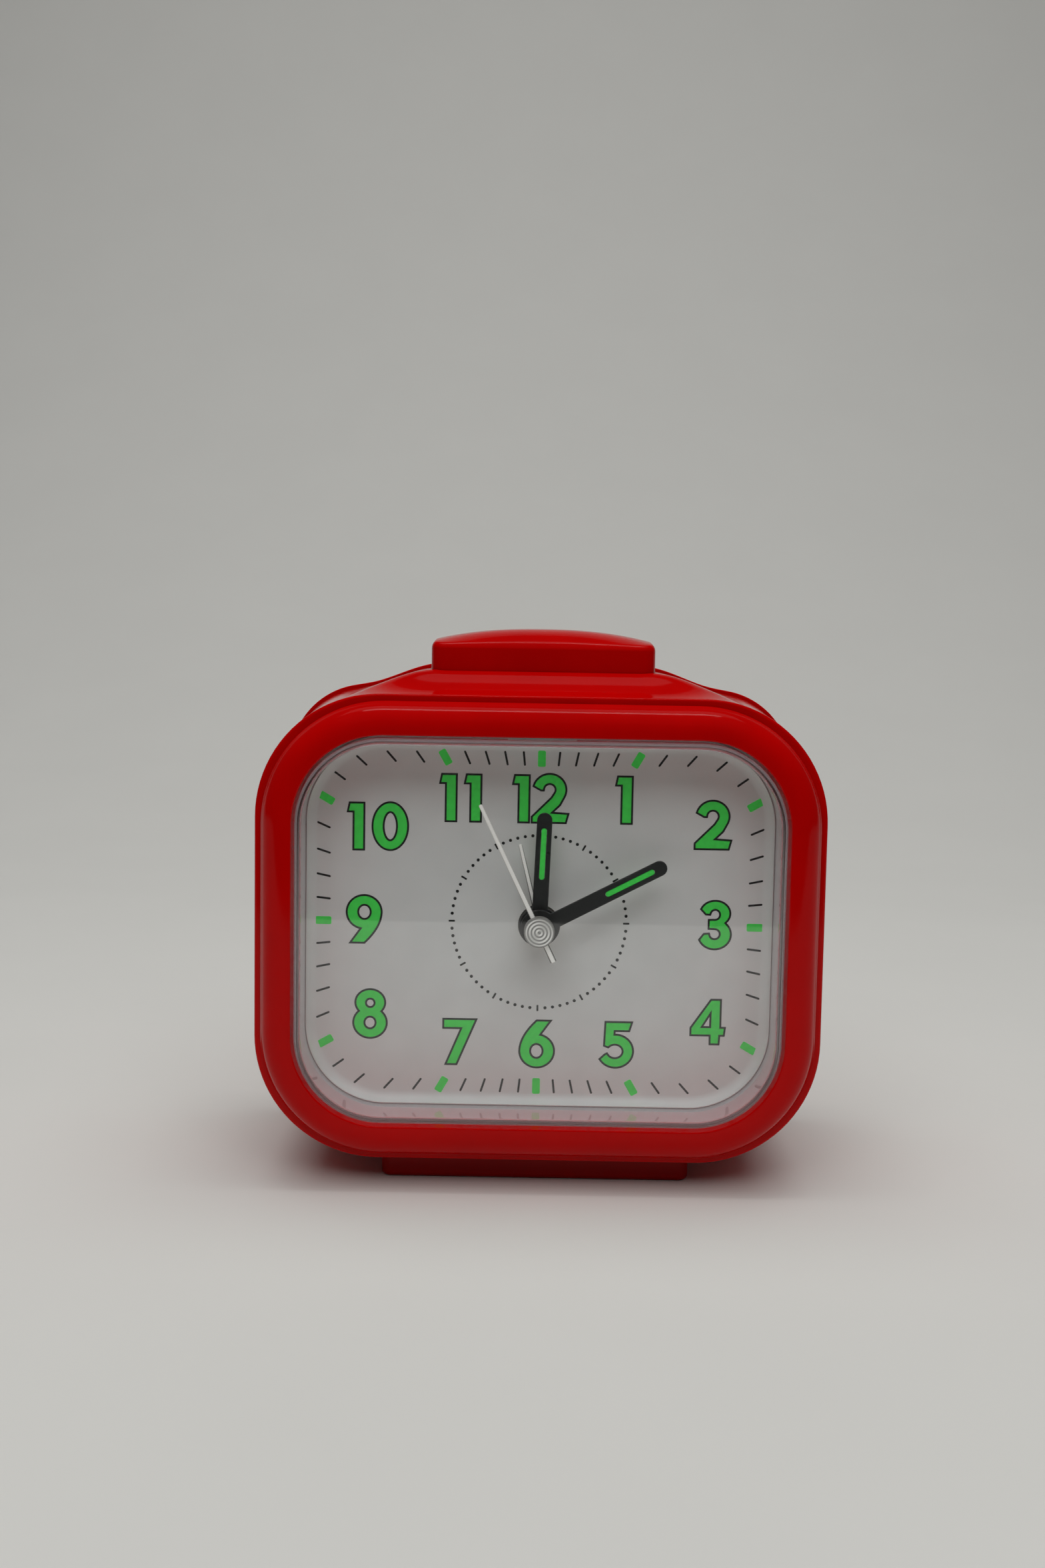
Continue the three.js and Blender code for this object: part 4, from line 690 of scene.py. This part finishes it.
DIGITS = make_digits()
NUMERAL_MARGIN = 0.41
DIGIT_GAP = {10: 2.1, 11: 2.1, 12: 0.95}
NUMERAL_PLACE = {                    # middle of each numeral, from the hands' axis
    12: (-0.1, 25.7), 1: (17.0, 25.6), 2: (35.4, 20.8), 3: (36.4, 0.05), 4: (35.4, -20.3),
    5: (16.6, -25.5), 6: (0, -25.6), 7: (-16.1, -25.4), 8: (-34.7, -19.8), 9: (-36.1, 0.05),
    10: (-33.4, 19.4), 11: (-16.5, 25.5),
}


def shifted(outlines, across, up=0):
    return [[(x + across, z + up) for x, z in outline] for outline in outlines]


def numeral(number):
    """The flat shape of a number, centred on its place on the dial."""
    add, cut, right = [], [], 0
    for digit in map(int, str(number)):
        shapes = DIGITS[digit]
        left = min(x for outline in shapes[0] for x, z in outline)
        for group, kept in zip(shapes, (add, cut)):
            kept += shifted(group, right - left)
        right = max(x for outline in add for x, z in outline) + DIGIT_GAP.get(number, 0)
    xs = [x for outline in add for x, z in outline]
    zs = [z for outline in add for x, z in outline]
    place = NUMERAL_PLACE[number]
    shift = (place[0] - (min(xs) + max(xs)) / 2, place[1] - (min(zs) + max(zs)) / 2)
    return merge_flat(shifted(add, *shift), shifted(cut, *shift))


def radial_bar(angle, middle, length, width, rounding):
    """A bar lying along a ray from the axis, with its middle at a distance along that ray."""
    cosine, sine = cos(radians(angle)), sin(radians(angle))
    outline = rounded_rectangle(width / 2, length / 2, rounding, 3, (0, middle))
    return [(x * cosine + z * sine, z * cosine - x * sine) for x, z in outline]


TRACK = {"x": 44.5, "z": 34.15, "radius": 12.5, "drop": 0.35}
HOUR_MARK = (3.3, 1.6, 0.3)          # length, width and corner radius, as for the next two
MINUTE_MARK = (3.0, 0.42, 0.2)
ALARM_MARK = (1.3, 0.38, 0.1)
ALARM_RING = 18
ALARM_DOT = 0.33
INK_THICKNESS = 0.02
PAINT_THICKNESS = 0.045


def track_distance(angle):
    """How far the minute track's rounded rectangle lies from its middle, along a ray."""
    turn = radians(angle)
    across, up = abs(sin(turn)), abs(cos(turn))
    reach = min(TRACK["x"] / max(across, 1e-9), TRACK["z"] / max(up, 1e-9))
    inner = (TRACK["x"] - TRACK["radius"], TRACK["z"] - TRACK["radius"])
    if across * reach > inner[0] and up * reach > inner[1]:
        middle = across * inner[0] + up * inner[1]
        beyond = inner[0] ** 2 + inner[1] ** 2 - TRACK["radius"] ** 2
        reach = middle + sqrt(max(middle * middle - beyond, 0))
    return reach


def prism(name, flats, depths, middle=(0, 0)):
    """Flat shapes, as points and triangles, thickened along Y."""
    points, faces = [], []
    for flat_points, triangles in flats:
        count, start = len(flat_points), len(points)
        points += [(x + middle[0], y, z + middle[1]) for y in depths for x, z in flat_points]
        faces += [tuple(start + i for i in t) for t in triangles]
        faces += [tuple(start + count + i for i in reversed(t)) for t in triangles]
        for a, b in sorted(open_edges(triangles)):
            faces.append((start + a, start + b, start + count + b, start + count + a))
    used = sorted({i for face in faces for i in face})
    order = {old: new for new, old in enumerate(used)}
    return new_piece(name, [points[i] for i in used], [tuple(order[i] for i in face) for face in faces])


def make_print():
    """The printed layers: green shapes over black ones that are a little wider."""
    numerals = [numeral(number) for number in NUMERAL_PLACE]
    marks, ticks = [], []
    for minute in range(60):
        angle = 6 * minute
        group, size = (ticks, MINUTE_MARK) if minute % 5 else (marks, HOUR_MARK)
        group += shifted([radial_bar(angle, track_distance(angle), *size)], 0, -TRACK["drop"])
    for step in range(72):
        turn = radians(5 * step)
        spot = (ALARM_RING * sin(turn), ALARM_RING * cos(turn))
        bar = radial_bar(5 * step, ALARM_RING, *ALARM_MARK)
        ticks.append(circle(ALARM_DOT, 14, spot) if step % 6 else bar)
    black = [outlined(flat, NUMERAL_MARGIN) for flat in numerals] + [merge_flat(ticks)]
    green = [*numerals, merge_flat(marks)]
    middle = (ARBOR.x, ARBOR.z)
    layer = prism("printed_black", black, (DIAL_Y, DIAL_Y - INK_THICKNESS), middle)
    finish(layer, slot="black_plastic", shader=FINISH["dial_ink"])
    layer = prism("printed_green", green, (DIAL_Y, DIAL_Y - PAINT_THICKNESS), middle)
    finish(layer, slot="luminous_green")


def make_dial():
    """A flat plate whose edge rises in a cove against the lens wall."""
    rim, cove_outer, boss_x = 3.4, -1.56, 31
    cove_middle = cove_outer - 0.15 - COVE_RADIUS
    back = DIAL_Y + 1.4
    profile = [(-10, back), (rim - 0.1, back), (rim, back - 0.1), (rim, DIAL_Y + 0.1), (rim - 0.1, DIAL_Y),
               (cove_outer, DIAL_Y), (cove_outer, DIAL_Y - COVE_RADIUS)]
    profile += arc((cove_middle, DIAL_Y - COVE_RADIUS), (COVE_RADIUS, COVE_RADIUS), 0, 90)
    profile.append((cove_middle - 6, DIAL_Y))
    plate = aperture_loft("dial_moulding", profile)
    places = [(side * boss_x, ARBOR.z) for side in (-1, 1)]
    carve(plate, [slab("boss", circle(2.4, 24, at), (back - 0.2, -12), (0.1, 0.2)) for at in places], "UNION")
    holes = [slab("hole", circle(1.1, 16, at), (back - 0.6, -11), (0.1, 0.1)) for at in places]
    bore = slab("bore", circle(3.8, 48, (0, ARBOR.z)), (DIAL_Y - 1, back + 1))
    finish(carve(plate, [bore, *holes]), "dial_plate")
    make_print()


# ---- case body
def hump_rise(x):
    along = (abs(x) - HUMP["flat"]) / (HUMP["foot"] - HUMP["flat"])
    return HUMP["height"] * 0.5 * (1 + cos(pi * min(max(along, 0), 1)))


def hump_fade(y):
    """The rise falls to the bezel in a concave slope, with its crest rounded."""
    total = 0
    for i in range(-3, 4):
        along = (HUMP["crest_y"] - y - i * HUMP["round"] / 3) / (HUMP["crest_y"] - BODY_LOW.y)
        total += (1 - min(max(along, 0), 1)) ** 1.8
    return total / 7


TOP_STEPS = 56


def case_ring(offset, y):
    """Outline of the case at a depth, moved outwards, with the rise under the button on its top."""
    along = min(max((y - BODY_LOW.y) / (BODY_HIGH.y - BODY_LOW.y), 0), 1)
    radius = BODY_RADIUS[0] + (BODY_RADIUS[1] - BODY_RADIUS[0]) * along + offset
    half_height = BODY_Z + offset
    base = rounded_rectangle(BODY_X + offset, half_height, radius)
    corner = CORNER_STEPS + 1
    edge = base[2 * corner - 1][0]
    across = [(edge * (1 - 2 * i / TOP_STEPS), half_height) for i in range(1, TOP_STEPS)]
    points = [*base[:2 * corner], *across, *base[2 * corner:]]
    fade = hump_fade(y)
    return [(x, y, CASE_Z + z + (hump_rise(x) * fade if z > 0 else 0)) for x, z in points]


def steps_between(low, high, count):
    return [low + (high - low) * i / count for i in range(count + 1)]


def plan_rectangle(half, depth, radius, middle_y, steps=8):
    return rounded_rectangle(half, depth, radius, steps, (0, middle_y))


def make_case_body():
    front, back, crest = BODY_LOW.y, BODY_HIGH.y, HUMP["crest_y"]
    rings = [case_ring(-0.3, front), case_ring(-0.1, front + 0.09), case_ring(0, front + 0.3)]
    rings += [case_ring(0, y) for y in steps_between(front + 0.8, crest + 1.6, 26)]
    rings += [case_ring(0, y) for y in steps_between(crest + 2.4, back - 0.3, 16)]
    rings += [case_ring(-0.1, back - 0.09), case_ring(-0.3, back)]
    rings += [case_ring(-WALL, y) for y in (back, crest, crest - 4, front)]
    body = loft("case_moulding", rings, closed=True)
    half_depth, middle_y = (FOOT["back"] - FOOT["front"]) / 2, (FOOT["back"] + FOOT["front"]) / 2
    plan = plan_rectangle(FOOT["half"], half_depth, FOOT["radius"], middle_y, 6)
    carve(body, [pillar("foot", plan, (0, FOOT["top"]), (FOOT["edge"], 0.1))], "UNION")
    half, depth, radius = (BUTTON[k] + 0.3 for k in ("half", "depth", "radius"))
    opening = plan_rectangle(half, depth, radius, BUTTON["y"])
    carve(body, [loft("opening", [level(opening, z) for z in (95, 120)])])
    finish(body, "case_body")
    # The foot's faces, below the case's underside, get the darker foot material: a painted shade for the shadow
    # under the bezel
    body.data.materials.append(FINISH["foot_painted_shade"])
    underside = (CASE_Z - BODY_Z + 0.02) * MM
    for face in body.data.polygons:
        if max(body.data.vertices[i].co.z for i in face.vertices) < underside:
            face.material_index = 1


def make_button():
    """A hollow crowned key, with its light plunger, spring studs and side lips."""
    half, depth, rim, skirt, middle_y = (BUTTON[k] for k in ("half", "depth", "rim", "skirt", "y"))
    wall, edge, spacing = 1.5, 0.95, 1.6
    stud_x, lip_low, lip_high = 15, 100.3, 101.4

    def crown(x, y):
        across = CROWN_FALL * abs(x / half) ** CROWN_POWER
        along = abs((y - middle_y) / depth) ** CROWN_POWER
        return rim + BUTTON["crown"] * (1 - across) * (1 - along)

    def plan(inset):
        corners = plan_rectangle(half - inset, depth - inset, max(BUTTON["radius"] - inset, 1), middle_y, 10)
        points = []
        for here, after in zip(corners, corners[1:] + corners[:1]):
            pieces = max(round(dist(here, after) / spacing), 1)
            for j in range(pieces):
                points.append(tuple(a + (b - a) * j / pieces for a, b in zip(here, after)))
        return points

    walls = [(wall, rim - 1), (wall, skirt), (0.25, skirt), (0, skirt + 0.25)]
    walls += [(0, z) for z in steps_between(skirt + 3, rim - edge, 3)]
    rings = [level(plan(inset), z) for inset, z in walls]
    for i in range(1, 7):
        angle = pi / 2 * i / 6
        rise = sin(angle)
        points = plan(edge * (1 - cos(angle)))
        rings.append([(x, y, rim - edge * (1 - rise) + (crown(x, y) - rim) * rise) for x, y in points])
    last = rings[-1]
    for shrink in steps_between(0.96, 0.04, 20):
        ring = [(x * shrink, middle_y + (y - middle_y) * shrink) for x, y, z in last]
        rings.append([(x, y, crown(x, y)) for x, y in ring])
    button = loft("snooze_key", rings)
    parts = []
    for x, low, radius in ((-stud_x, 101.3, 2.2), (stud_x, 101.3, 2.2), (0, 99.9, 2)):
        parts.append(pillar("stud", circle(radius, 28, (x, middle_y)), (low, rim - 0.8), (0.2, 0.05)))
    for side in (-1, 1):
        outline = rounded_rectangle(1.15, 7.5, 0.3, 3, (side * (half + 0.15), middle_y))
        parts.append(pillar("lip", outline, (lip_low, lip_high), (0.2, 0.2)))
    carve(button, parts, "UNION")
    finish(button, "snooze_light_button", "snooze_light_button")


# ---- back of the case
def curved_arrow(name, depths, middle, radius, start, stop, width=0.7, head=1.5):
    """A raised arc that ends in an arrow head."""
    outside = arc(middle, (radius + width / 2,) * 2, start, stop, 14)
    inside = arc(middle, (radius - width / 2,) * 2, stop, start, 14)
    way = 1 if stop > start else -1
    tip = arc(middle, (radius, radius), stop + way * 80 / radius, stop, 1)[0]
    barbs = [arc(middle, (radius + side * head,) * 2, stop, stop, 1)[0] for side in (1, -1)]
    return prism(name, [merge_flat([[*outside, *inside], [barbs[0], tip, barbs[1]]])], depths)


def make_rear_cover():
    lip, face, round_over = COVER_LIP, COVER_BACK_Y, 1.5
    rim = arc((lip - round_over, face - round_over), (round_over, round_over), 0, 90, 6)
    edge = [(lip - 0.15, COVER_Y), (lip, COVER_Y + 0.15), *rim]
    cover = loft("rear_moulding", [case_ring(*place) for place in edge])
    low, high, wall = TRAY["bottom"], TRAY["top"], TRAY["wall"]
    outside = TRAY["half"] + wall
    depths = (TRAY["floor"] - wall, COVER_Y + 0.5)
    tray = block("tray", (-outside, outside), depths, (low - wall, high + wall), 0.4)
    post = slab("gong_post", circle(2.2, 24, GONG_AT), (GONG_LOW.y + 4, COVER_Y + 0.5))
    carve(cover, [tray, post], "UNION")
    door_top = DOOR_HIGH.z - DOOR_LATCH
    door_half, door_high = DOOR_HIGH.x + 0.3, (door_top - DOOR_LOW.z) / 2 + 0.3
    door_middle = (0, (DOOR_LOW.z + door_top) / 2)
    tray_middle = (0, (low + high) / 2)
    knob_middle = (sum(x for x, z in KNOBS.values()) / 2, KNOBS["time_set_knob"][1])
    switch_at = (SWITCH["x"], SWITCH["z"])
    recess = face - 1.9
    pockets = [
        ("recess", (door_half, door_high, 1.2, 6, door_middle), recess, face, 0.3),
        ("latch", (5, 2.4, 0.8, 5, (0, DOOR_HIGH.z - 1.8)), face - 1.2, face, 0.3),
        ("hollow", (TRAY["half"], (high - low) / 2, 1, 6, tray_middle), TRAY["floor"], recess, 0.2, 0.6),
        ("knobs", (20.5, 9.6, 9.5, 18, knob_middle), face - 1.6, face, 0.5, 0.5),
        ("slot", (SWITCH["half"], 2, 0.5, 4, switch_at), COVER_Y - 1, face),
        ("dish", (8, 4.4, 3, 8, switch_at), face - 0.8, face, 0.4),
    ]
    carve(cover, [mouth(name, rounded_rectangle(*size), *rest) for name, size, *rest in pockets])
    holes = []
    for i in range(-3, 4):
        up = i * SOUND["pitch"]
        reach = sqrt(SOUND["radius"] ** 2 - up ** 2)
        outline = rounded_rectangle(reach, 0.9, 0.85, 6, (GONG_AT[0], GONG_AT[1] + up))
        holes.append(mouth("sound", outline, COVER_Y - 1, face, 0.35))
    holes += [slab("shaft", circle(1.5, 24, place), (20, 30)) for place in KNOBS.values()]
    for place in SCREWS.values():
        holes.append(mouth("sink", circle(3.2, 32, place), COVER_Y + 1.2, face, 0.35))
        holes.append(slab("clearance", circle(1.6, 24, place), (COVER_Y - 1, face)))
    carve(cover, holes)
    carve(cover, [slab("island", circle(4.2, 40, GONG_AT), (COVER_Y, face - 0.2), (0.1, 0.4))], "UNION")
    depths = (face - 0.05, face + 0.22)
    join(cover, [curved_arrow("arrow", depths, place, 12.2, 90 - way * 25, 90 + way * 28)
                 for place, way in zip(KNOBS.values(), (1, -1))])
    finish(cover, "rear_cover")


def make_battery_door():
    face = COVER_BACK_Y
    top = DOOR_HIGH.z - DOOR_LATCH
    outline = rounded_rectangle(DOOR_HIGH.x, (top - DOOR_LOW.z) / 2, 0.9, 6, (0, (top + DOOR_LOW.z) / 2))
    door = slab("battery_lid", outline, (face - 1.6, face), (0.15, 0.35))
    latch = rounded_rectangle(4.6, 1.95, 0.8, 5, (0, top + 1.45))
    carve(door, [slab("latch", latch, (face - 0.8, face), (0.1, 0.3))], "UNION")
    dish = rounded_rectangle(9.5, 4.2, 3.8, 8, (0, top - 5.4))
    carve(door, [mouth("dish", dish, face - 0.6, face, 0.4, 0.5)])
    grips = []
    for i in range(4):
        outline = rounded_rectangle(7 - 0.5 * abs(i - 1.5), 0.35, 0.3, 3, (0, top - 3.2 - 1.5 * i))
        grips.append(slab("grip", outline, (face - 0.8, face + 0.35), (0.05, 0.25)))
    carve(door, grips, "UNION")
    finish(door, "battery_door", "battery_door")


def make_knobs():
    for node, (x, z) in KNOBS.items():
        low, high = mm_box(node)
        count = KNOB["flutes"] * 8
        outline = []
        for i in range(count):
            angle = 2 * pi * i / count
            r = KNOB["radius"] - KNOB["flute_depth"] * (1 - cos(KNOB["flutes"] * angle)) ** 1.2
            outline.append((x + r * cos(angle), z + r * sin(angle)))
        knob = slab(f"{node}_grip", outline, (low.y, high.y), (0.15, 0.5))
        dish = mouth("dish", circle(4.4, 48, (x, z)), high.y - 0.5, high.y, 0.3, 0.3)
        socket = slab("socket", circle(1.5, 24, (x, z)), (low.y - 1, low.y + 2), (0.1, 0.1))
        carve(knob, [dish, socket])
        way = 1 if node.startswith("time") else -1
        depths = (high.y - 0.6, high.y - 0.2)
        join(knob, [curved_arrow("arrow", depths, (x, z), 2.7, 90 - way * 60, 90 + way * 150, 0.5, 0.9)])
        finish(knob, node, node.replace("_knob", ""))


def make_screws():
    shank, head_radius, dome = 1.1, 2.8, 1.3
    for node, (x, z) in SCREWS.items():
        low, high = mm_box(node)
        head = high.y - 1.4
        crown = arc((0.09, head + 0.1), (head_radius, dome), 15, 90, 6)
        profile = [(0, low.y), (0.4, low.y), (shank, low.y + 1.2), (shank, head), (head_radius - 0.1, head),
                   (head_radius, head + 0.1), *crown, (0, high.y)]
        screw = turned(f"{node}_head", profile, x, z, 40)
        slots = [block("cross", (x - a, x + a), (high.y - 1, high.y + 1), (z - b, z + b), 0.05)
                 for a, b in ((1.5, 0.3), (0.3, 1.5))]
        finish(carve(screw, slots), node)


def make_switch():
    low, high = mm_box("alarm_switch_slider")
    x, z = low.x + 1, SWITCH["z"]
    grip = block("alarm_switch_grip", (x, x + 5), (low.y + 0.8, high.y), (z - 1.7, z + 1.7), 0.35)
    foot = block("foot", (low.x, high.x), (low.y, low.y + 2), (z - 3.4, z + 3.4), 0.2)
    carve(grip, [foot], "UNION")
    ribs = [(x + 0.8 + 1.2 * i, x + 1.4 + 1.2 * i) for i in range(3)]
    carve(grip, [block("rib", rib, (high.y - 0.5, high.y + 1), (z - 3, z + 3), 0.05) for rib in ribs])
    finish(grip, "alarm_switch_slider", "alarm_switch_slider")


# ---- hands
HANDS = {
    "hour": {"half": 1.55, "root": 1.6, "tip": 23.3, "boss": 4.1, "bore": 2.7, "slot": (9.6, 20.2)},
    "minute": {"half": 1.55, "root": 1.6, "tip": 28.7, "boss": 3.75, "bore": 1.8, "slot": (15, 26)},
    "alarm": {"half": 0.38, "root": 0.55, "tip": 17.1, "boss": 4.3, "bore": 3.6},
}
PAINT_HALF = 0.58
SECOND_THICKNESS = 0.52
SECOND_WIDTHS = (                    # distance from the axis and half width
    (-6.9, 0.5), (-6.75, 0.64), (-1.5, 0.6), (0, 0.6), (2, 0.52), (14, 0.45), (27.8, 0.35), (28, 0.24),
)
CAP_BACK = [(0, -26.6), (1.5, -26.6), (2.5, -26.75), (2.9, -26.95), (3.05, -27.1), (3.05, -28.75)]
CAP_FACE = [(2.5, -29.15), (2.2, -29.1), (0.5, -29.1), (0.35, -29.05), (0, -29.05)]


def pointer(kind, tail, rounds, boss_steps, boss_rounds):
    """A round-ended blade with a boss and a bore, standing on the axis."""
    size = HANDS[kind]
    half, root = size["half"], size["root"]
    low, high = mm_box(f"{kind}_hand")
    y = (low.y, high.y)
    outline = [(root, -tail), *arc((0, size["tip"] - half), (half, half), 0, 180, 16), (-root, -tail)]
    hand = slab(f"{kind}_pointer", outline, y, rounds)
    carve(hand, [slab("boss", circle(size["boss"], boss_steps), y, boss_rounds)], "UNION")
    return hand, slab("bore", circle(size["bore"], 40), (y[0] - 1, y[1] + 1)), y


def slot_outline(half, low, high):
    return rounded_rectangle(half, (high - low) / 2, half - 0.02, 8, (0, (low + high) / 2))


def make_pointer(kind):
    """The hour or the minute hand, with a slot that holds luminous paint."""
    hand, bore, y = pointer(kind, 0.5, (0.22, 0.05), 64, (0.22, 0.05))
    start, stop = HANDS[kind]["slot"]
    carve(hand, [bore, slab("slot", slot_outline(PAINT_HALF, start, stop), (y[0] - 1, y[1] + 1))])
    finish(turn_about_arbor(hand, HAND_TURN[kind]), f"{kind}_hand", kind)
    outline = slot_outline(PAINT_HALF - 0.03, start + 0.05, stop - 0.05)
    fill = slab(f"{kind}_paint", outline, (y[0] + 0.06, y[1] - 0.02), (0.14, 0.05))
    finish(turn_about_arbor(fill, HAND_TURN[kind]), f"{kind}_hand_lume", kind)


def make_alarm_hand():
    hand, bore, y = pointer("alarm", 0, (0.12, 0.04), 56, (0.1, 0.04))
    turn_about_arbor(carve(hand, [bore]), HAND_TURN["alarm"])
    finish(hand, "alarm_hand", "alarm", shader=FINISH["alarm_needle"])


def make_second_hand():
    """A sweep hand of oval section, with a counterweight tail, under a turned cap."""
    rings = []
    for z, half in SECOND_WIDTHS:
        rings.append(level(arc((0, ARBOR.y), (half, SECOND_THICKNESS / 2), 0, 342, 19), z))
    hand = turn_about_arbor(loft("second_pointer", rings), HAND_TURN["second"])
    finish(hand, "second_hand", "second", shader=FINISH["second_needle"])
    profile = [*CAP_BACK, *arc((2.95, -28.95), (0.1, -0.2), 20, 90, 2), *CAP_FACE]
    cap = turned("second_cap", profile, ARBOR.x, ARBOR.z, 72)
    carve(cap, [slab("bore", circle(0.9, 20, (ARBOR.x, ARBOR.z)), (-28.4, -26), (0.05, 0.05))])
    finish(cap, body="second", slot="silver_hand", shader=FINISH["turned_cap"])


# ---- bell and cells
def make_gong():
    """A thin domed bowl with a hole for its screw."""
    radius, depth, wall, hole = 19, GONG_HIGH.y - GONG_LOW.y, 0.9, 1.4
    outer, inner = [arc((0, GONG_HIGH.y), (radius - t, t - depth), 74, 0) for t in (0, wall)]
    profile = [(hole, GONG_LOW.y), *outer, *inner[::-1], (hole, GONG_LOW.y + wall)]
    rings = [upright(circle(r, 72, GONG_AT), y) for r, y in profile]
    finish(loft("gong_bowl", rings, closed=True), "gong")


def make_cells():
    """AA cells: crimped jacket, shoulder ring, insulating washer and contact nub."""
    for name, side in (("upper", 1), ("lower", -1)):
        node = f"battery_cell_{name}"
        low, high = mm_box(node)
        middle = (low + high) / 2
        radius, length = (high.z - low.z) / 2, high.x - low.x
        jacket = [(radius - 0.8, 0), (radius - 0.1, 0.5), (radius, 1), (radius, length - 2.6),
                  (radius - 0.15, length - 2.3), (radius - 0.5, length - 1.8), (radius - 0.9, length - 1.5)]
        nub = [(4.6, length - 1.4), (4.4, length - 1.2), (2.9, length - 1.2), (2.75, length - 1),
               (2.7, length - 0.2), (2.5, length), (0, length)]
        rings = []
        for r, along in [(0, 0.3), (3.6, 0.3), (3.9, 0), *jacket, *nub]:
            x = low.x + along if side > 0 else high.x - along
            rings.append([(x, y, z) for y, z in circle(max(r, 0.01), 56, (middle.y, middle.z))])
        finish(loft(f"dry_cell_{name}", rings), node)


def make_springs():
    """Round-wire coils: two return springs under the key and two cell contacts."""
    jobs = [(f"button_spring_{side}", "z", 2.5, 0.32, 6.5) for side in ("left", "right")]
    jobs += [(f"battery_spring_{row}", "x", 3.2, 0.36, 2.5) for row in ("upper", "lower")]
    for node, axis, radius, wire, turns in jobs:
        low, high = mm_box(node)
        middle = (low + high) / 2
        start, stop = (low.z, high.z) if axis == "z" else (low.x, high.x)
        rings = []
        steps = round(turns * 28)
        for i in range(steps + 1):
            angle = 2 * pi * turns * (i / steps)
            along = start + wire + (stop - start - 2 * wire) * (i / steps)
            spin = Vector((cos(angle), sin(angle)))
            ring = []
            for a, b in circle(wire, 10):
                u, v = spin * (radius + a)
                ring.append((middle.x + u, middle.y + v, along + b) if axis == "z" else
                            (along + b, middle.y + u, middle.z + v))
            rings.append(ring)
        finish(loft(f"{node}_coil", rings), node, sharp=60)


# ---- the carried-over frame
def dress_frame():
    for name, node in frame["nodes"].items():
        node.data.materials.clear()
        node.data.materials.append(FINISH[SLOTS[name]])


# ---- set, light and camera
def make_stage():
    """A seamless pale sweep: a floor that curves up into a wall well behind the clock."""
    surface = Surface((0.765, 0.76, 0.725), 0.7)
    surface.material.name = "paper"
    surface.mottle(60, 0.985)
    surface.relief(surface.noise(1.5, 2), 0.01)
    front, bend, back, height, half = -340, 350, 1300, 1600, 1600
    radius = back - bend
    curve = arc((bend, radius), (radius, radius), -90, 0, 24)
    section = [(front, 0), (bend, 0), *curve[1:], (back, height)]
    points = [(side * half, y, z) for y, z in section for side in (-1, 1)]
    faces = [(2 * i, 2 * i + 1, 2 * i + 3, 2 * i + 2) for i in range(len(section) - 1)]
    sweep = new_piece("sweep", points, faces)
    sweep.data.materials.append(surface.material)
    sweep.data.polygons.foreach_set("use_smooth", [True] * len(faces))


def add_softbox(name, place, target, size, power, mirrored=True):
    light = bpy.data.lights.new(name, "AREA")
    light.shape = "RECTANGLE"
    light.size, light.size_y = size
    light.energy = power
    box = new_object(name, light)
    box.location = place
    box.rotation_euler = (Vector(target) - Vector(place)).to_track_quat("-Z", "Y").to_euler()
    box.visible_glossy = mirrored


def make_light():
    """A dim room, with softboxes whose places and sizes are in metres."""
    world = bpy.data.worlds.new("room")
    world.use_nodes = True
    room = world.node_tree.nodes["Background"].inputs
    room["Color"].default_value = (1, 0.99, 0.97, 1)
    room["Strength"].default_value = 0.03
    bpy.context.scene.world = world
    add_softbox("overhead", (0, -0.1, 1.25), (0, 0.05, 0), (1.5, 1.3), 8.6, mirrored=False)
    add_softbox("strip", (0, -0.05, 1.2), (0, 0, 0.05), (0.7, 0.12), 1.5)
    add_softbox("front_fill", (0, -1.0, 1.05), (0, 0, 0.05), (1.3, 0.5), 4.7, mirrored=False)
    add_softbox("wall_wash", (0, 0.35, 1.7), (0, 1.3, 0.7), (1.6, 0.8), 2.4)


def make_camera():
    """The photo's viewpoint: a little to the left, looking slightly down."""
    yaw, pitch, roll = 0.207, -5.21, 0.985
    distance, rise, aside = 328.6, 58.5, -2.7
    camera = bpy.data.cameras.new("camera")
    camera.sensor_width = 36
    camera.sensor_fit = "AUTO"
    camera.lens = 36.96
    camera.clip_start = 0.01
    view = new_object("camera", camera)
    turns = ((yaw, "Z"), (90 + pitch, "X"), (roll, "Z"))
    yawed, pitched, rolled = (Matrix.Rotation(radians(angle), 4, axis) for angle, axis in turns)
    place = Matrix.Translation(Vector((aside, DIAL_Y - distance, ARBOR.z + rise)) * MM)
    view.matrix_world = place @ yawed @ pitched @ rolled
    bpy.context.scene.camera = view
    bpy.context.scene.view_settings.view_transform = "Standard"


dress_frame()
make_bezel()
make_lens()
make_dial()
make_case_body()
make_button()
make_rear_cover()
make_battery_door()
make_knobs()
make_screws()
make_switch()
for hand_kind in ("hour", "minute"):
    make_pointer(hand_kind)
make_alarm_hand()
make_second_hand()
make_gong()
make_cells()
make_springs()
make_stage()
make_light()
make_camera()
